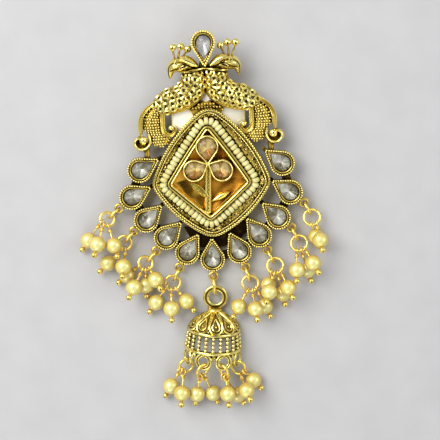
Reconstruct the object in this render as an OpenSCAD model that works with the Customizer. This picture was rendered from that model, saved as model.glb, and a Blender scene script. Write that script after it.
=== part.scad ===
// Gilt bird brooch. Two peacocks stand back to back above a kite-shaped setting with a
// seed bead border, a fan of eleven drop-cut stones hangs round its lower half, pearl
// clusters hang from the fan, and a half-round bell with pearls hangs from its middle.
// Lengths are in millimetres. The brooch lies face up: +Z is up, +Y is towards the birds.
// The casting leans on the pin at its back, so it lies at a small slope.

/* [Casting] */
// Height of the rope edge round the kite
rope_edge_h = 2.6; // [2.4:0.1:2.8]
// Height of the polished rim round the field
field_rim_h = 4.0; // [3.7:0.1:4.2]
// Height of the field's floor
field_floor_h = 1.7; // [1.5:0.1:1.8]
// Height of the fan cups
cup_h = 2.5; // [2.4:0.1:2.7]
// Height of the flower's three cups
flower_cup_h = 4.3; // [4.1:0.1:4.5]
// Slope at which the casting lies, in degrees
lean = 5.5; // [5.4:0.05:5.6]

/* [Birds] */
// Width across the two birds, scroll to scroll
birds_w = 37.4; // [37.0:0.1:37.8]
// Factor on the height of the birds' relief
relief = 1.0; // [0.85:0.05:1.1]
// Radius of the balls on the crests
crest_ball_r = 0.85; // [0.7:0.05:0.95]

/* [Stones] */
// How far each fan stone's table stands above its widest line
crown_h = 0.85; // [0.6:0.05:1.0]
// Gap between a stone and its cup
stone_gap = 0.12; // [0.1:0.01:0.16]

/* [Seed beads] */
// Radius of the string of seed beads
string_r = 0.94; // [0.85:0.01:0.95]

/* [Pearls] */
// Diameter of the pearls
pearl_d = 4.0; // [3.7:0.1:4.0]
// Diameter of a pearl's drilling
pearl_hole_d = 0.66; // [0.6:0.02:0.8]
// Radius of the head pins' wire
pin_wire_r = 0.22; // [0.2:0.01:0.23]
// Radius of the ball on the end of a head pin
pin_ball_r = 0.7; // [0.55:0.05:0.7]

/* [Rings and links] */
// Radius of the wire of the ears under the cups
ear_wire_r = 0.33; // [0.28:0.01:0.33]
// Radius of the wire of the links
link_wire_r = 0.38; // [0.32:0.01:0.38]
// Radius of the wire of the rings that carry the pearls
ring_wire_r = 0.34; // [0.3:0.01:0.35]

/* [Bell] */
// Thickness of the bell's dome
bell_wall = 1.0; // [0.8:0.1:1.1]
// Share of the cage that its bars take up
bar_share = 0.46; // [0.4:0.02:0.55]

/* [Pin] */
// Radius of the pin's wire
stem_r = 0.5; // [0.4:0.05:0.55]

/* [Hidden] */
$fn = 48;
gold = "goldenrod";
// The frame's plane: its y and z lie at the slope, and its origin is this high.
lift = 2.44;
// From the kite's centre to the middle of the brooch's outline
centre = [2.53, 12.37, 0];
// Solid metal sinks this far into what it is soldered to.
sunk = 0.3;

// Kite outline: [middle x, top y, half width, y of the side corners, bottom y,
// top radius, side radius, bottom radius, radius of the upper sides, of the lower sides]
KITE = [0.15, 16, 14.65, -2.3, -16.05, 4.4, 3.9, 5.2, 35, 30];
FIELD = [-0.35, 11.85, 10.3, -2.3, -11.6, 1.5, 1.45, 1.5, 160, 160];
// Inside the kite's outer line: width of the rope edge and outer wall of the bead groove.
// The groove runs in to the field's rim; then how far outside the rim the middle line of
// the beads lies, and the height of the groove's floor
ROPE_W = 0.95;
GROOVE_OUT = 1.4;
STRING_OUT = 1.08;
GROOVE_H = 1.3;
// Width of the polished rim round the field
RIM_W = 1.15;

// Fan cups from left to right round the bottom: [x, y, direction of the tip, direction of the ear]
FAN = [
  [-17.5,   1.3,  28, 0],
  [-19.8,  -5.4,  26, -141],
  [-16.5, -11.3,  41, -140],
  [-11.7, -15.9,  43, -129],
  [ -6.6, -19.9,  57, -120],
  [ -0.3, -21.9,  90,  -90],
  [  6.5, -20.1, 116,  -72],
  [ 11.7, -16.2, 125,  -66],
  [ 16.5, -11.8, 137,  -42],
  [ 19.7,  -5.6, 146,  -40],
  [ 17.9,   1.7, 141, 0]];
// Flower cups: [x, y, direction of the tip, radius, reach of the tip]
FLOWER = [
  [-0.65, 6.75, -88, 2.85, 4.30],
  [-4.05, 0.94,  24, 2.75, 3.90],
  [ 2.87, 0.79, 153, 2.75, 3.85]];
// Cup between the birds' heads: [x, y, direction of the tip]
TOP_CUP = [-0.57, 32.06, -88];

// Slope of a drop's straight sides, as the sine of half of the tip's angle
DROP = 0.535;
// Fan cup: round end radius, tip radius
CUP_R = 3.1;
CUP_TIP_R = 0.4;
// Stones at their widest line: radius of the round end, slope of the straight sides
STONE_R = 1.95;
STONE_DROP = 0.47;
TOP_STONE_R = 1.72;
TOP_STONE_DROP = 0.38;

// Pearl clusters: [fan cup, ring x, y, z, ring slope, ring radius, link z,
// pearls as [x, y, z, place on the ring in degrees from its far point]]
CLUSTERS = [
  [1, -26.3, -10.85, 2.45, 15, 1.75, 2.40,
    [[-31.2, -16.0, 2.05, -16], [-28.7, -16.8, 5.35, 16], [-24.7, -17.3, 4.30, 60]]],
  [2, -22.3, -17.00, 1.90, 0, 1.75, 2.15,
    [[-26.6, -21.9, 2.05, 12], [-22.5, -22.6, 5.20, 48]]],
  [3, -17.2, -22.30, 2.50, 16, 1.75, 2.10,
    [[-20.2, -27.9, 5.00, 12], [-21.9, -25.2, 2.05, -30],
     [-14.7, -26.2, 4.90, 80], [-17.3, -27.9, 2.05, 42]]],
  [4, -10.6, -27.50, 2.20, 8, 1.85, 2.10,
    [[-15.0, -32.3, 2.05, -35], [-11.1, -33.8, 3.80, 12], [-7.4, -32.3, 2.05, 55]]],
  [6, 8.9, -28.40, 2.20, 8, 2.00, 2.10,
    [[5.8, -34.0, 3.20, -40], [9.9, -34.5, 5.35, 0], [12.4, -34.3, 2.05, 34]]],
  [7, 15.3, -24.15, 2.50, 16, 2.00, 2.15,
    [[13.4, -30.2, 5.95, -38], [18.2, -29.4, 5.50, 18],
     [16.9, -31.3, 2.05, -8], [13.5, -28.9, 2.05, -63]]],
  [8, 21.5, -18.70, 2.50, 16, 2.00, 2.20,
    [[24.6, -23.5, 5.45, 20], [20.5, -25.1, 5.30, -44], [23.4, -25.6, 2.05, -10]]],
  [9, 24.9, -12.30, 2.50, 16, 2.00, 2.40,
    [[26.5, -17.8, 6.10, 6], [25.8, -17.2, 2.05, -31]]]];
// The ears stand this far from their cup's centre, and their rings have this radius.
EAR_D = 4.3;
EAR_R = 1.05;
LINK_R = 1.7;
EYE_R = 0.85;
PIN_EYE_WIRE = 0.19;

// Bell: centre of its ring, direction of its axis, slope down, size of the middle link
BELL = [0, -31.6, 1.65];
BELL_DIR = -95;
BELL_DROP = 7;
BELL_RING_R = 2.5;
MID_LINK = [2.1, 0.4, 2.52];
// Loops under the bell: distance along the axis, radius they stand at, own radius, wire
LOOP_AT = [15.0, 6.9, 1.65, 0.42];
// Rings in those loops: radius, and how far their near wire stands inside the loop
LOOP_RING_R = 1.9;
LOOP_RING_IN = 1.1;
// Loops from left to right: [angle round the bell, ring heading, ring slope down, ring twist,
// pearls as [x, y, z, place on the ring in degrees from its far point]]
LOOPS = [
  [-64, -118, 8, 0, [[-12.1, -53.8, 2.05, 34], [-9.3, -55.2, 4.75, -4]]],
  [-19, -98, 30, 25, [[-5.6, -55.9, 2.90, 24], [-1.5, -56.0, 2.05, -16]]],
  [24, -84, 30, -10, [[2.2, -55.6, 5.40, 30], [4.7, -56.6, 2.25, -4]]],
  [66, -67, 8, 0, [[6.9, -54.9, 5.40, -12], [8.8, -53.1, 2.05, 42]]]];

// Plane directions and vector helpers
function dir(a) = [cos(a), sin(a)];
function ang(v) = atan2(v[1], v[0]);
function unit(v) = v / norm(v);
function lerp(a, b, t) = a + (b - a) * t;
function ccw(a, b) = let (t = (b - a) % 360) t < 0 ? t + 360 : t;
// A point of the sloping frame in the brooch's own axes
function laid(p) = [p[0], p[1] * cos(lean) - p[2] * sin(lean),
  p[1] * sin(lean) + p[2] * cos(lean) + lift];

// Kite with rounded corners and bowed sides, drawn d inside its outer line
function corners(k) = [
  [[k[0] + k[2] - k[6], k[3]], k[6]], [[k[0], k[1] - k[5]], k[5]],
  [[k[0] - k[2] + k[6], k[3]], k[6]], [[k[0], k[4] + k[7]], k[7]]];
function bow(a, b, r) = let (
    d = norm(b[0] - a[0]),
    e = (b[0] - a[0]) / d,
    u = (pow(r - a[1], 2) - pow(r - b[1], 2) + d * d) / (2 * d),
    v = sqrt(pow(r - a[1], 2) - u * u))
  a[0] + u * e + v * [-e[1], e[0]];
function kite(k, d = 0, n = 4) = let (
    c = corners(k),
    r = [k[8], k[8], k[9], k[9]],
    s = [for (i = [0:3]) bow(c[i], c[(i + 1) % 4], r[i])])
  [for (i = [0:3]) let (
      j = (i + 1) % 4,
      a = ang(c[i][0] - s[i]),
      b = ang(c[j][0] - s[i]),
      e = ang(c[j][0] - s[j]))
    each concat(
      [for (t = [0:n]) s[i] + (r[i] - d) * dir(a + ccw(a, b) * t / n)],
      [for (t = [1:n - 1]) c[j][0] + (c[j][1] - d) * dir(b + ccw(b, e) * t / n)])];

// Drop with its round end at the origin and its tip towards +X
function drop(r, q, s = DROP, n = 10) = let (a = acos(s)) concat(
  [for (k = [0:n]) r * dir(a + k * (360 - 2 * a) / n)],
  [for (k = [0:2]) [(r - q) / s, 0] + q * dir(a * (k - 1))]);
function drop_slope(r, reach, q) = (r - q) / (reach - q);

// Solid between two outlines of the same number of points
module stack(rings) {
  m = len(rings[0]);
  polyhedron(
    points = [for (r = rings) each r],
    faces = concat(
      [[for (i = [0:m - 1]) i]],
      [for (k = [0:len(rings) - 2], i = [0:m - 1])
        [k * m + i, (k + 1) * m + i, (k + 1) * m + (i + 1) % m, k * m + (i + 1) % m]],
      [[for (i = [m - 1:-1:0]) (len(rings) - 1) * m + i]]));
}

// Raised shape from rows of [right x, y, left x, y, height], seen along its run, with a
// rounded back; every row stands on the plane z = 0. Each step between two rows is cut
// into parts, n is the number of steps across, and bump raises every other point
// ("scales") or every other row ("ribs").
function row_at(rows, i) = let (k = min(floor(i), len(rows) - 2)) lerp(rows[k], rows[k + 1], i - k);
function on(r, t, edge, up = 0) = [lerp(r[0], r[2], t), lerp(r[1], r[3], t),
  edge + (r[4] * relief - edge) * pow(sin(180 * t), 0.75) + up];
module relief_shape(rows, edge = 0.9, n = 5, parts = 1, bump = 0, kind = "plain") {
  m = n + 3;
  last = (len(rows) - 1) * parts;
  polyhedron(
    points = [for (i = [0:last]) let (r = row_at(rows, i / parts))
      each concat([[r[0], r[1], 0]],
        [for (k = [0:n]) let (
            inner = i > 0 && i < last && k > 0 && k < n,
            high = kind == "scales" ? (i + k) % 2 : kind == "ribs" ? i % 2 : 0)
          on(r, k / n, edge, inner ? (high - 0.5) * bump : 0)],
        [[r[2], r[3], 0]])],
    faces = concat(
      [[for (i = [m - 1:-1:0]) i]],
      [for (k = [0:last - 1], i = [0:m - 1])
        [k * m + i, k * m + (i + 1) % m, (k + 1) * m + (i + 1) % m, (k + 1) * m + i]],
      [[for (i = [0:m - 1]) last * m + i]]));
}
// Rows of a band of width w along a line of points; h is its height.
function run(line, i) = unit(line[min(i + 1, len(line) - 1)] - line[max(i - 1, 0)]);
function band(line, w, h) = [for (i = [0:len(line) - 1])
  let (d = run(line, i), s = [d[1], -d[0]] * (is_list(w) ? w[i] : w) / 2, p = line[i])
  [p[0] + s[0], p[1] + s[1], p[0] - s[0], p[1] - s[1], is_list(h) ? h[i] : h]];
// Turns +Z to the direction v
module along(v) {
  rotate([0, acos(v[2] / norm(v)), ang(v)]) children();
}
module torus(r, wire) {
  rotate_extrude() translate([r, 0]) circle(wire);
}
// The same ring with few flat sides, for the ears that are cast on the cups
module flat_torus(r, wire) {
  rotate_extrude($fn = 10) translate([r, 0]) circle(wire, $fn = 6);
}
module place() {
  translate(centre) children();
}
module tilted() {
  place() translate([0, 0, lift]) rotate([lean, 0, 0]) children();
}

// Kite: plate, rope edge, seed bead groove, polished rim and sunk field
module kite_tray() {
  difference() {
    linear_extrude(rope_edge_h) polygon(kite(KITE));
    translate([0, 0, GROOVE_H]) linear_extrude(3) polygon(kite(KITE, ROPE_W));
  }
  // lip between the rope edge and the groove
  difference() {
    linear_extrude(2.1) polygon(kite(KITE, ROPE_W - sunk));
    translate([0, 0, -1]) linear_extrude(5) polygon(kite(KITE, GROOVE_OUT));
  }
  difference() {
    linear_extrude(field_rim_h) polygon(kite(FIELD));
    translate([0, 0, field_floor_h]) linear_extrude(4) polygon(kite(FIELD, RIM_W));
  }
}

// Stem and two leaves under the flower
module flower_stem() {
  // the stem is a twisted bar
  translate([-0.75, -9.6, field_floor_h + 0.2]) rotate([-90, 0, 0])
    linear_extrude(12.4, twist = 810, slices = 18, $fn = 4) square([0.8, 0.8], center = true);
  translate([0, 0, field_floor_h - sunk]) {
    difference() {
      linear_extrude(1.3) polygon(leaf([-0.7, -5.8], [-4.8, -2.3], 0.85));
      translate([0, 0, 1.0]) linear_extrude(1) polygon(leaf([-1.2, -5.35], [-4.3, -2.7], 0.5));
    }
    linear_extrude(1.25) polygon(leaf([-0.6, -7.0], [4.7, -4.7], 0.8));
  }
}
// Leaf from a to b, about w wide on each side of its middle line
function leaf(a, b, w) = let (d = b - a, s = unit([-d[1], d[0]])) concat(
  [for (k = [0:6]) a + d * k / 6 + s * w * sin(180 * pow(k / 6, 1.15))],
  [for (k = [5:-1:1]) a + d * k / 6 - s * w * 0.8 * sin(180 * pow(k / 6, 1.15))]);

// Fan cup with a stepped seat for its stone
module fan_cup() {
  difference() {
    linear_extrude(cup_h) polygon(drop(CUP_R, CUP_TIP_R));
    translate([0, 0, cup_h - 0.55]) linear_extrude(2) polygon(drop(CUP_R - 0.6, 0.15));
    translate([0, 0, 0.9]) linear_extrude(3)
      polygon(drop(STONE_R + stone_gap, 0.2 + stone_gap, STONE_DROP, 8));
  }
}
// Low bar that joins a cup to the kite or to the next cup
module web(a, b, w, h) {
  translate([a[0], a[1], 0]) rotate([0, 0, ang(b - a)])
    translate([0, -w / 2, 0]) cube([norm(b - a), w, h]);
}
module fan() {
  for (c = FAN)
    translate([c[0], c[1], 0]) rotate([0, 0, c[2]]) {
      fan_cup();
      translate([0, -0.52, 0]) cube([6.35, 1.04, 0.75]);
    }
  for (i = [0:9])
    web([FAN[i][0], FAN[i][1]], [FAN[i + 1][0], FAN[i + 1][1]], 2.2, 0.8);
  // backing between the lowest cups
  linear_extrude(0.65) polygon([[-7.2, -13.6], [-4.6, -18.6], [-0.3, -19.2], [4.6, -18.6],
    [9.6, -14.6], [9.0, -11.6]]);
  for (c = FAN)
    if (c[3] != 0)
      translate([c[0] + EAR_D * cos(c[3]), c[1] + EAR_D * sin(c[3]), ear_h(c[1] - 4)])
        flat_torus(EAR_R, ear_wire_r);
}
// Height of an ear in the frame, so that the ears hang level above the ground
function ear_h(y) = max(1.2, 2.0 - lift - y * sin(lean));

// Flower cup with thin polished walls
module flower_cup(c) {
  s = drop_slope(c[3], c[4], 0.3);
  translate([c[0], c[1], field_floor_h - sunk]) rotate([0, 0, c[2]]) difference() {
    linear_extrude(flower_cup_h - field_floor_h + sunk) polygon(drop(c[3], 0.3, s));
    translate([0, 0, 1.0]) linear_extrude(4)
      polygon(drop(c[3] - 0.5, 0.2 + stone_gap, s, 8));
  }
}
module top_cup() {
  s = drop_slope(2.9, 5.7, 0.35);
  translate([TOP_CUP[0], TOP_CUP[1], 0]) rotate([0, 0, TOP_CUP[2]]) difference() {
    linear_extrude(4.0) polygon(drop(2.9, 0.35, s));
    translate([0, 0, 3.4]) linear_extrude(3) polygon(drop(2.4, 0.15, s));
    translate([0, 0, 2.2]) linear_extrude(4)
      polygon(drop(TOP_STONE_R + stone_gap, 0.2 + stone_gap, TOP_STONE_DROP, 8));
  }
}

// One bird, facing left. Its rows and lines are measured from the kite's centre.
BODY = [
  [-5.40, 25.3,  0.05, 25.7, 2.4], [-5.60, 24.2,  0.06, 24.6, 2.9], [-5.95, 23.1,  0.06, 23.0, 3.2],
  [-6.90, 22.1,  0.06, 21.3, 3.4], [-8.40, 21.6, -0.15, 19.7, 3.5], [-9.70, 21.1, -0.85, 18.4, 3.5],
  [-10.8, 20.5, -2.00, 17.2, 3.3], [-11.7, 19.7, -3.60, 16.2, 3.1], [-12.5, 18.9, -5.90, 15.5, 2.8],
  [-12.9, 18.2, -8.20, 15.0, 2.4], [-13.1, 17.6, -9.90, 15.1, 1.9]];
HEAD = [
  [-1.70, 26.6, -0.90, 25.7, 2.0], [-3.20, 28.2, -2.60, 25.3, 3.0], [-4.70, 28.7, -4.30, 25.1, 3.5],
  [-6.30, 28.7, -5.80, 25.0, 3.6], [-7.80, 28.2, -6.70, 25.2, 3.3], [-8.70, 27.2, -7.15, 25.1, 2.8],
  [-8.95, 26.1, -7.45, 24.8, 2.3], [-8.80, 25.0, -7.75, 24.3, 1.8], [-8.45, 23.7, -8.20, 23.6, 1.1]];
TAIL = [
  [-13.2, 17.5, -10.2, 15.6, 1.8], [-14.3, 16.2, -10.9, 15.2, 1.8], [-15.1, 14.7, -11.2, 14.2, 1.8],
  [-15.4, 13.0, -11.3, 12.9, 1.8], [-15.4, 11.6, -11.1, 11.6, 1.8], [-14.6, 10.7, -10.5, 10.5, 1.9],
  [-14.2, 9.6, -9.3, 9.6, 2.0], [-13.9, 8.5, -9.2, 8.9, 2.0], [-13.1, 7.6, -9.9, 7.8, 1.7],
  [-12.1, 7.2, -10.9, 7.3, 1.3]];
STRIP = [
  [-12.6, 18.4, -12.9, 17.0, 2.0], [-14.7, 17.1, -13.8, 16.4, 2.2], [-16.1, 15.4, -14.9, 15.2, 2.3],
  [-16.8, 13.6, -15.4, 13.6, 2.3], [-16.9, 11.9, -15.5, 11.8, 2.1], [-16.6, 10.3, -15.9, 10.2, 1.6],
  [-16.2, 9.3, -15.9, 9.2, 1.2]];
ARM = [[-10.6, 15.8], [-10.75, 14.4], [-10.75, 13.0], [-10.75, 11.8], [-10.5, 10.8], [-9.9, 10.15],
  [-9.1, 9.95], [-8.4, 10.3], [-8.0, 11.0], [-8.1, 11.7], [-8.6, 12.0]];
SCROLL = [[-14.3, 10.6], [-14.1, 9.6], [-14.1, 8.5], [-14.5, 7.6], [-15.3, 6.95], [-16.3, 6.8],
  [-17.2, 7.2], [-17.75, 8.0], [-17.7, 8.9], [-17.1, 9.5], [-16.4, 9.4]];
PLUME = [[-5.7, 28.2], [-4.6, 28.3], [-3.6, 27.9], [-2.7, 27.2], [-1.9, 26.5]];
COLLAR = [[-5.5, 25.15], [-4.2, 25.2], [-2.6, 25.45], [-1.2, 25.7], [0.05, 25.9]];
// Crest balls and the feet of their stems: [ball x, y, foot x, y]
CREST = [[-7.6, 31.4, -6.9, 28.4], [-5.7, 31.5, -6.1, 28.4], [-4.0, 30.8, -5.2, 28.4]];
module bird() {
  relief_shape(BODY, n = 8, parts = 2, bump = 0.5, kind = "scales");
  relief_shape(HEAD);
  relief_shape(TAIL, 0.8, n = 3, parts = 3, bump = 0.45, kind = "ribs");
  relief_shape(STRIP, 1.0);
  relief_shape(band(ARM, [1.1, 1.3, 1.3, 1.3, 1.25, 1.2, 1.15, 1.1, 1.0, 0.9, 0.8], 2.2), 1.2);
  relief_shape(band(SCROLL, [0.9, 1.1, 1.2, 1.2, 1.2, 1.2, 1.2, 1.15, 1.1, 1.0, 0.8], 2.2), 1.2);
  relief_shape(band(PLUME, [0.5, 1.2, 1.3, 1.0, 0.4], 4.0), 2.0);
  relief_shape(band(COLLAR, 0.6, 3.2), 1.5);
  // web behind the outer scroll, and end balls of both scrolls
  linear_extrude(0.7) polygon([[-14.2, 7.6], [-15.4, 6.9], [-17.2, 7.4], [-17.6, 8.8], [-16.4, 9.6],
    [-15.4, 9.0]]);
  translate([-15.9, 9.0, 1.6]) sphere(0.8, $fn = 10);
  translate([-8.75, 11.9, 1.7]) sphere(0.62, $fn = 8);
  for (c = CREST) {
    hull() {
      translate([c[2], c[3], 1.2]) sphere(0.5, $fn = 6);
      translate([c[0], c[1], 1.5]) sphere(0.42, $fn = 6);
    }
    translate([c[0], c[1], 1.6]) sphere(crest_ball_r, $fn = 10);
  }
  // eye ridge
  translate([-6.4, 26.7, 3.25 * relief]) rotate([0, 0, 14]) cube([1.9, 0.42, 0.7], center = true);
}
module peacocks() {
  resize([birds_w, 0, 0]) rotate([0, 0, 1.3]) union() {
    bird();
    mirror([1, 0, 0]) bird();
    // seat of the birds on the kite, below the drop-shaped gap between them
    linear_extrude(1.2) polygon([[-4.4, 16.4], [-0.9, 17.7], [0.9, 17.7], [4.4, 16.4], [3, 13.5],
      [-3, 13.5]]);
    // solder under the tip of the cup between the heads
    linear_extrude(2.2) polygon([[-1.7, 25.2], [1.7, 25.2], [1.0, 27.4], [-1.0, 27.4]]);
    // solder between each outer scroll and the fan cup below it
    for (s = [-1, 1]) hull() {
      translate([s * 15.0, 6.9, 0.8]) sphere(0.75, $fn = 6);
      translate([s * 15.1, 4.6, 0.8]) sphere(0.75, $fn = 6);
    }
  }
}

// Plate at the back with the hinge and the catch of the pin
PLATE = [-9.1, 9.5, 18.2, 11.4];
PIN_Y = 16;
PIN_Z = -2.6;
module back_plate() {
  translate([PLATE[0], PLATE[1], -0.75]) cube([PLATE[2], PLATE[3], 0.85]);
  // hinge: two cheeks and a rivet
  for (y = [-1.45, 0.75])
    translate([-8.2, PIN_Y + y, -3.84]) cube([2.0, 0.7, 3.5]);
  translate([-7.2, PIN_Y + 1.2, PIN_Z]) rotate([90, 0, 0]) cylinder(r = 0.4, h = 2.4, $fn = 12);
  // catch: a post with a hook open to one side
  translate([6.6, PIN_Y - 0.9, -1.7]) cube([1.2, 1.8, 1.3]);
  translate([6.6, PIN_Y, PIN_Z]) rotate([90, 0, 90]) rotate([0, 0, 20])
    linear_extrude(1.2) difference() {
      circle(1.25, $fn = 16);
      circle(0.72, $fn = 12);
      rotate([0, 0, 215]) translate([0, -0.62]) square([2, 1.24]);
    }
}

module cast_frame() {
  color(gold) tilted() {
    kite_tray();
    flower_stem();
    fan();
    for (c = FLOWER) flower_cup(c);
    top_cup();
    peacocks();
    back_plate();
  }
}

// Pin wire with its eye on the hinge's rivet and its point in the catch
module pin_stem() {
  color("silver") tilted() {
    translate([-7.2, PIN_Y, PIN_Z]) rotate([90, 0, 0]) torus(0.95, 0.42);
    translate([-6.3, PIN_Y, PIN_Z]) rotate([0, 90, 0]) cylinder(r = stem_r, h = 13.2);
    translate([6.9, PIN_Y, PIN_Z]) rotate([0, 90, 0]) cylinder(r1 = stem_r, r2 = 0.12, h = 1.6);
  }
}

// String of seed beads in the groove round the kite, as one closed rope
module seed_bead_string() {
  m = 8;
  // each of the rope's edges is the field's outline, drawn at its own distance outside
  lines = [for (k = [0:m - 1]) kite(FIELD, -STRING_OUT - string_r * cos(360 * (k + 0.5) / m))];
  n = len(lines[0]);
  color("ivory") tilted() translate([0, 0, GROOVE_H + string_r + 0.1]) polyhedron(
    points = [for (i = [0:n - 1], k = [0:m - 1])
      [lines[k][i][0], lines[k][i][1], string_r * sin(360 * (k + 0.5) / m)]],
    faces = [for (i = [0:n - 1], k = [0:m - 1])
      [i * m + k, i * m + (k + 1) % m, ((i + 1) % n) * m + (k + 1) % m, ((i + 1) % n) * m + k]]);
}

// Drop-cut stone: flat back, widest line at z = 0, crown of facets and a table
module drop_stone(r, s, back, crown) {
  m = 12;
  function at(d, z) = let (p = drop(r - d, max(0.1, 0.2 - d), s, 8))
    [for (k = [0:m - 1]) [p[k][0], p[k][1], z]];
  stack([at(r * 0.24, -back), at(0, 0), at(r * 0.42, crown)]);
}
module fan_stone(i) {
  c = FAN[i];
  color("lavender") tilted() translate([c[0], c[1], 1.75]) rotate([0, 0, c[2]])
    drop_stone(STONE_R, STONE_DROP, 0.7, crown_h);
}
module top_stone() {
  color("lavender") tilted() translate([TOP_CUP[0], TOP_CUP[1], 3.2]) rotate([0, 0, TOP_CUP[2]])
    drop_stone(TOP_STONE_R, TOP_STONE_DROP, 0.85, crown_h);
}
module flower_stone(i) {
  c = FLOWER[i];
  color("peachpuff") tilted()
    translate([c[0], c[1], field_floor_h - sunk + 1.95]) rotate([0, 0, c[2]])
      drop_stone(c[3] - 0.5 - stone_gap, drop_slope(c[3], c[4], 0.3), 0.8, crown_h + 0.05);
}

// Places of a cluster's parts: ear, ring, and the level direction between them
function ear_at(c) = laid([FAN[c[0]][0] + EAR_D * cos(FAN[c[0]][3]),
  FAN[c[0]][1] + EAR_D * sin(FAN[c[0]][3]), ear_h(FAN[c[0]][1] - 4)]);
function level(a, b) = unit([b[0] - a[0], b[1] - a[1], 0]);
function ring_at(c) = [c[1], c[2], c[3]];
function ring_far(c) = let (u = level(ear_at(c), ring_at(c)))
  [u[0] * cos(c[4]), u[1] * cos(c[4]), sin(c[4])];
function ring_side(c) = let (u = level(ear_at(c), ring_at(c))) [-u[1], u[0], 0];
module link(i) {
  c = CLUSTERS[i];
  e = ear_at(c);
  u = level(e, ring_at(c));
  color(gold) place() translate([e[0] + LINK_R * u[0], e[1] + LINK_R * u[1], c[6]])
    along([u[1], -u[0], 0]) torus(LINK_R, link_wire_r);
}
module jump_ring(i) {
  c = CLUSTERS[i];
  color(gold) place() translate(ring_at(c)) along(cross(ring_far(c), ring_side(c)))
    torus(c[5], ring_wire_r);
}
// Head pin from the ring's wire at w to the pearl at p; n is the axis of its eye
module head_pin(w, p, n) {
  d = unit(p - w);
  translate(w) along(n) torus(EYE_R, PIN_EYE_WIRE);
  reach = norm(p - w) + 2.0 + 0.1 + pin_ball_r;
  translate(w) along(d) {
    translate([0, 0, EYE_R]) cylinder(r = pin_wire_r, h = reach - EYE_R);
    translate([0, 0, reach]) sphere(pin_ball_r);
  }
}
module pearl(w, p) {
  translate(p) along(p - w) difference() {
    sphere(d = pearl_d);
    cylinder(d = pearl_hole_d, h = pearl_d + 1, center = true);
  }
}
function hung(c, q) = ring_at(c) + c[5] * (cos(q[3]) * ring_far(c) + sin(q[3]) * ring_side(c));
function spot(q) = [q[0], q[1], q[2]];
module pearls(i) {
  color("bisque") place() for (q = CLUSTERS[i][7]) pearl(hung(CLUSTERS[i], q), spot(q));
}
module head_pins(i) {
  c = CLUSTERS[i];
  color(gold) place() for (q = c[7])
    head_pin(hung(c, q), spot(q), cross(spot(q) - hung(c, q), [0, 0, 1]));
}

// Bell: +X runs down its axis from the centre of its ring
module on_bell() {
  place() translate(BELL) rotate([0, BELL_DROP, BELL_DIR]) children();
}
// Profile points [along the axis, radius]
DOME = [[3.9, 0], [3.9, 1.9], [4.3, 2.9], [5.0, 4.1], [5.9, 5.1], [7.0, 5.9], [8.2, 6.4],
  [9.3, 6.5], [12.4, 6.85], [13.2, 7.0]];
module turned(profile) {
  rotate([0, 90, 0]) rotate_extrude() polygon([for (p = profile) [p[1], p[0]]]);
}
module jhumka_bell() {
  color(gold) {
    on_bell() torus(BELL_RING_R, 0.58);
    intersection() {
      on_bell() bell_body();
      place() translate([-20, -60, 0.02]) cube([40, 40, 12]);
    }
    on_bell() for (q = LOOPS)
      rotate([-q[0], 0, 0]) translate([LOOP_AT[0], 0, LOOP_AT[1]])
        torus(LOOP_AT[2], LOOP_AT[3]);
  }
}
module bell_body() {
  w = bell_wall;
  difference() {
    union() {
      rotate([0, 90, 0]) translate([0, 0, 2.5]) cylinder(r = 1.72, h = 1.8);
      turned(concat(DOME, [[13.2, 0]]));
      // rims above and below the cage
      for (b = [[8.0, 6.85, 0.7], [12.6, 7.3, 0.85]])
        rotate([0, 90, 0]) translate([0, 0, b[0]]) cylinder(r = b[1], h = b[2]);
      // petals on the dome
      for (a = [-75:35:65])
        rotate([a, 0, 0]) translate([6.2, 0, 4.55]) rotate([0, -38, 0]) rotate([0, 0, 180])
          linear_extrude(1.1) polygon(drop(1.0, 0.15, 0.5, 10));
    }
    turned([[3.9 + w, 0], [4.1 + w, 2.9 - w], [5.0 + w * 0.8, 4.1 - w * 0.6], [6.4, 5.1 - w * 0.7],
      [7.3, 5.9 - w], [8.4, 6.4 - w], [9.3, 6.5 - w], [12.4, 6.85 - w], [14, 7.0 - w], [14, 0]]);
    // openings between the bars of the cage
    for (a = [-85:15.8:85])
      rotate([a, 0, 0]) translate([8.95, -0.87 * (1 - bar_share) * 1.25, 4])
        cube([3.35, 0.87 * (1 - bar_share) * 2.5, 4]);
  }
}
module bell_link() {
  c = FAN[5];
  e = laid([c[0], c[1] - EAR_D, ear_h(c[1] - 4)]);
  u = level(e, BELL);
  color(gold) place()
    translate([e[0] + MID_LINK[0] * u[0], e[1] + MID_LINK[0] * u[1], MID_LINK[2]])
      along([u[1], -u[0], 0]) torus(MID_LINK[0], MID_LINK[1]);
}
// Directions of the bell: down its axis, its upper side and its right side
function bell_axis() = [cos(BELL_DIR) * cos(BELL_DROP), sin(BELL_DIR) * cos(BELL_DROP), -sin(BELL_DROP)];
function bell_right() = unit(cross(bell_axis(), [0, 0, 1])) * -1;
function bell_top() = cross(bell_axis(), bell_right());
function loop_out(q) = cos(q[0]) * bell_top() + sin(q[0]) * bell_right();
function loop_far(q) = BELL + (LOOP_AT[0] + LOOP_AT[2]) * bell_axis() + LOOP_AT[1] * loop_out(q);
function loop_ring_dir(q) = [cos(q[1]) * cos(q[2]), sin(q[1]) * cos(q[2]), -sin(q[2])];
function loop_ring_up(q) = let (
    d = loop_ring_dir(q),
    o = loop_out(q),
    u = unit(o - (o * d) * d))
  u * cos(q[3]) + cross(d, u) * sin(q[3]);
function loop_ring_at(q) = loop_far(q) + (LOOP_RING_R - LOOP_RING_IN) * loop_ring_dir(q);
function loop_hung(q, p) = loop_ring_at(q)
  + LOOP_RING_R * (cos(p[3]) * loop_ring_dir(q) + sin(p[3]) * loop_ring_up(q));
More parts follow.
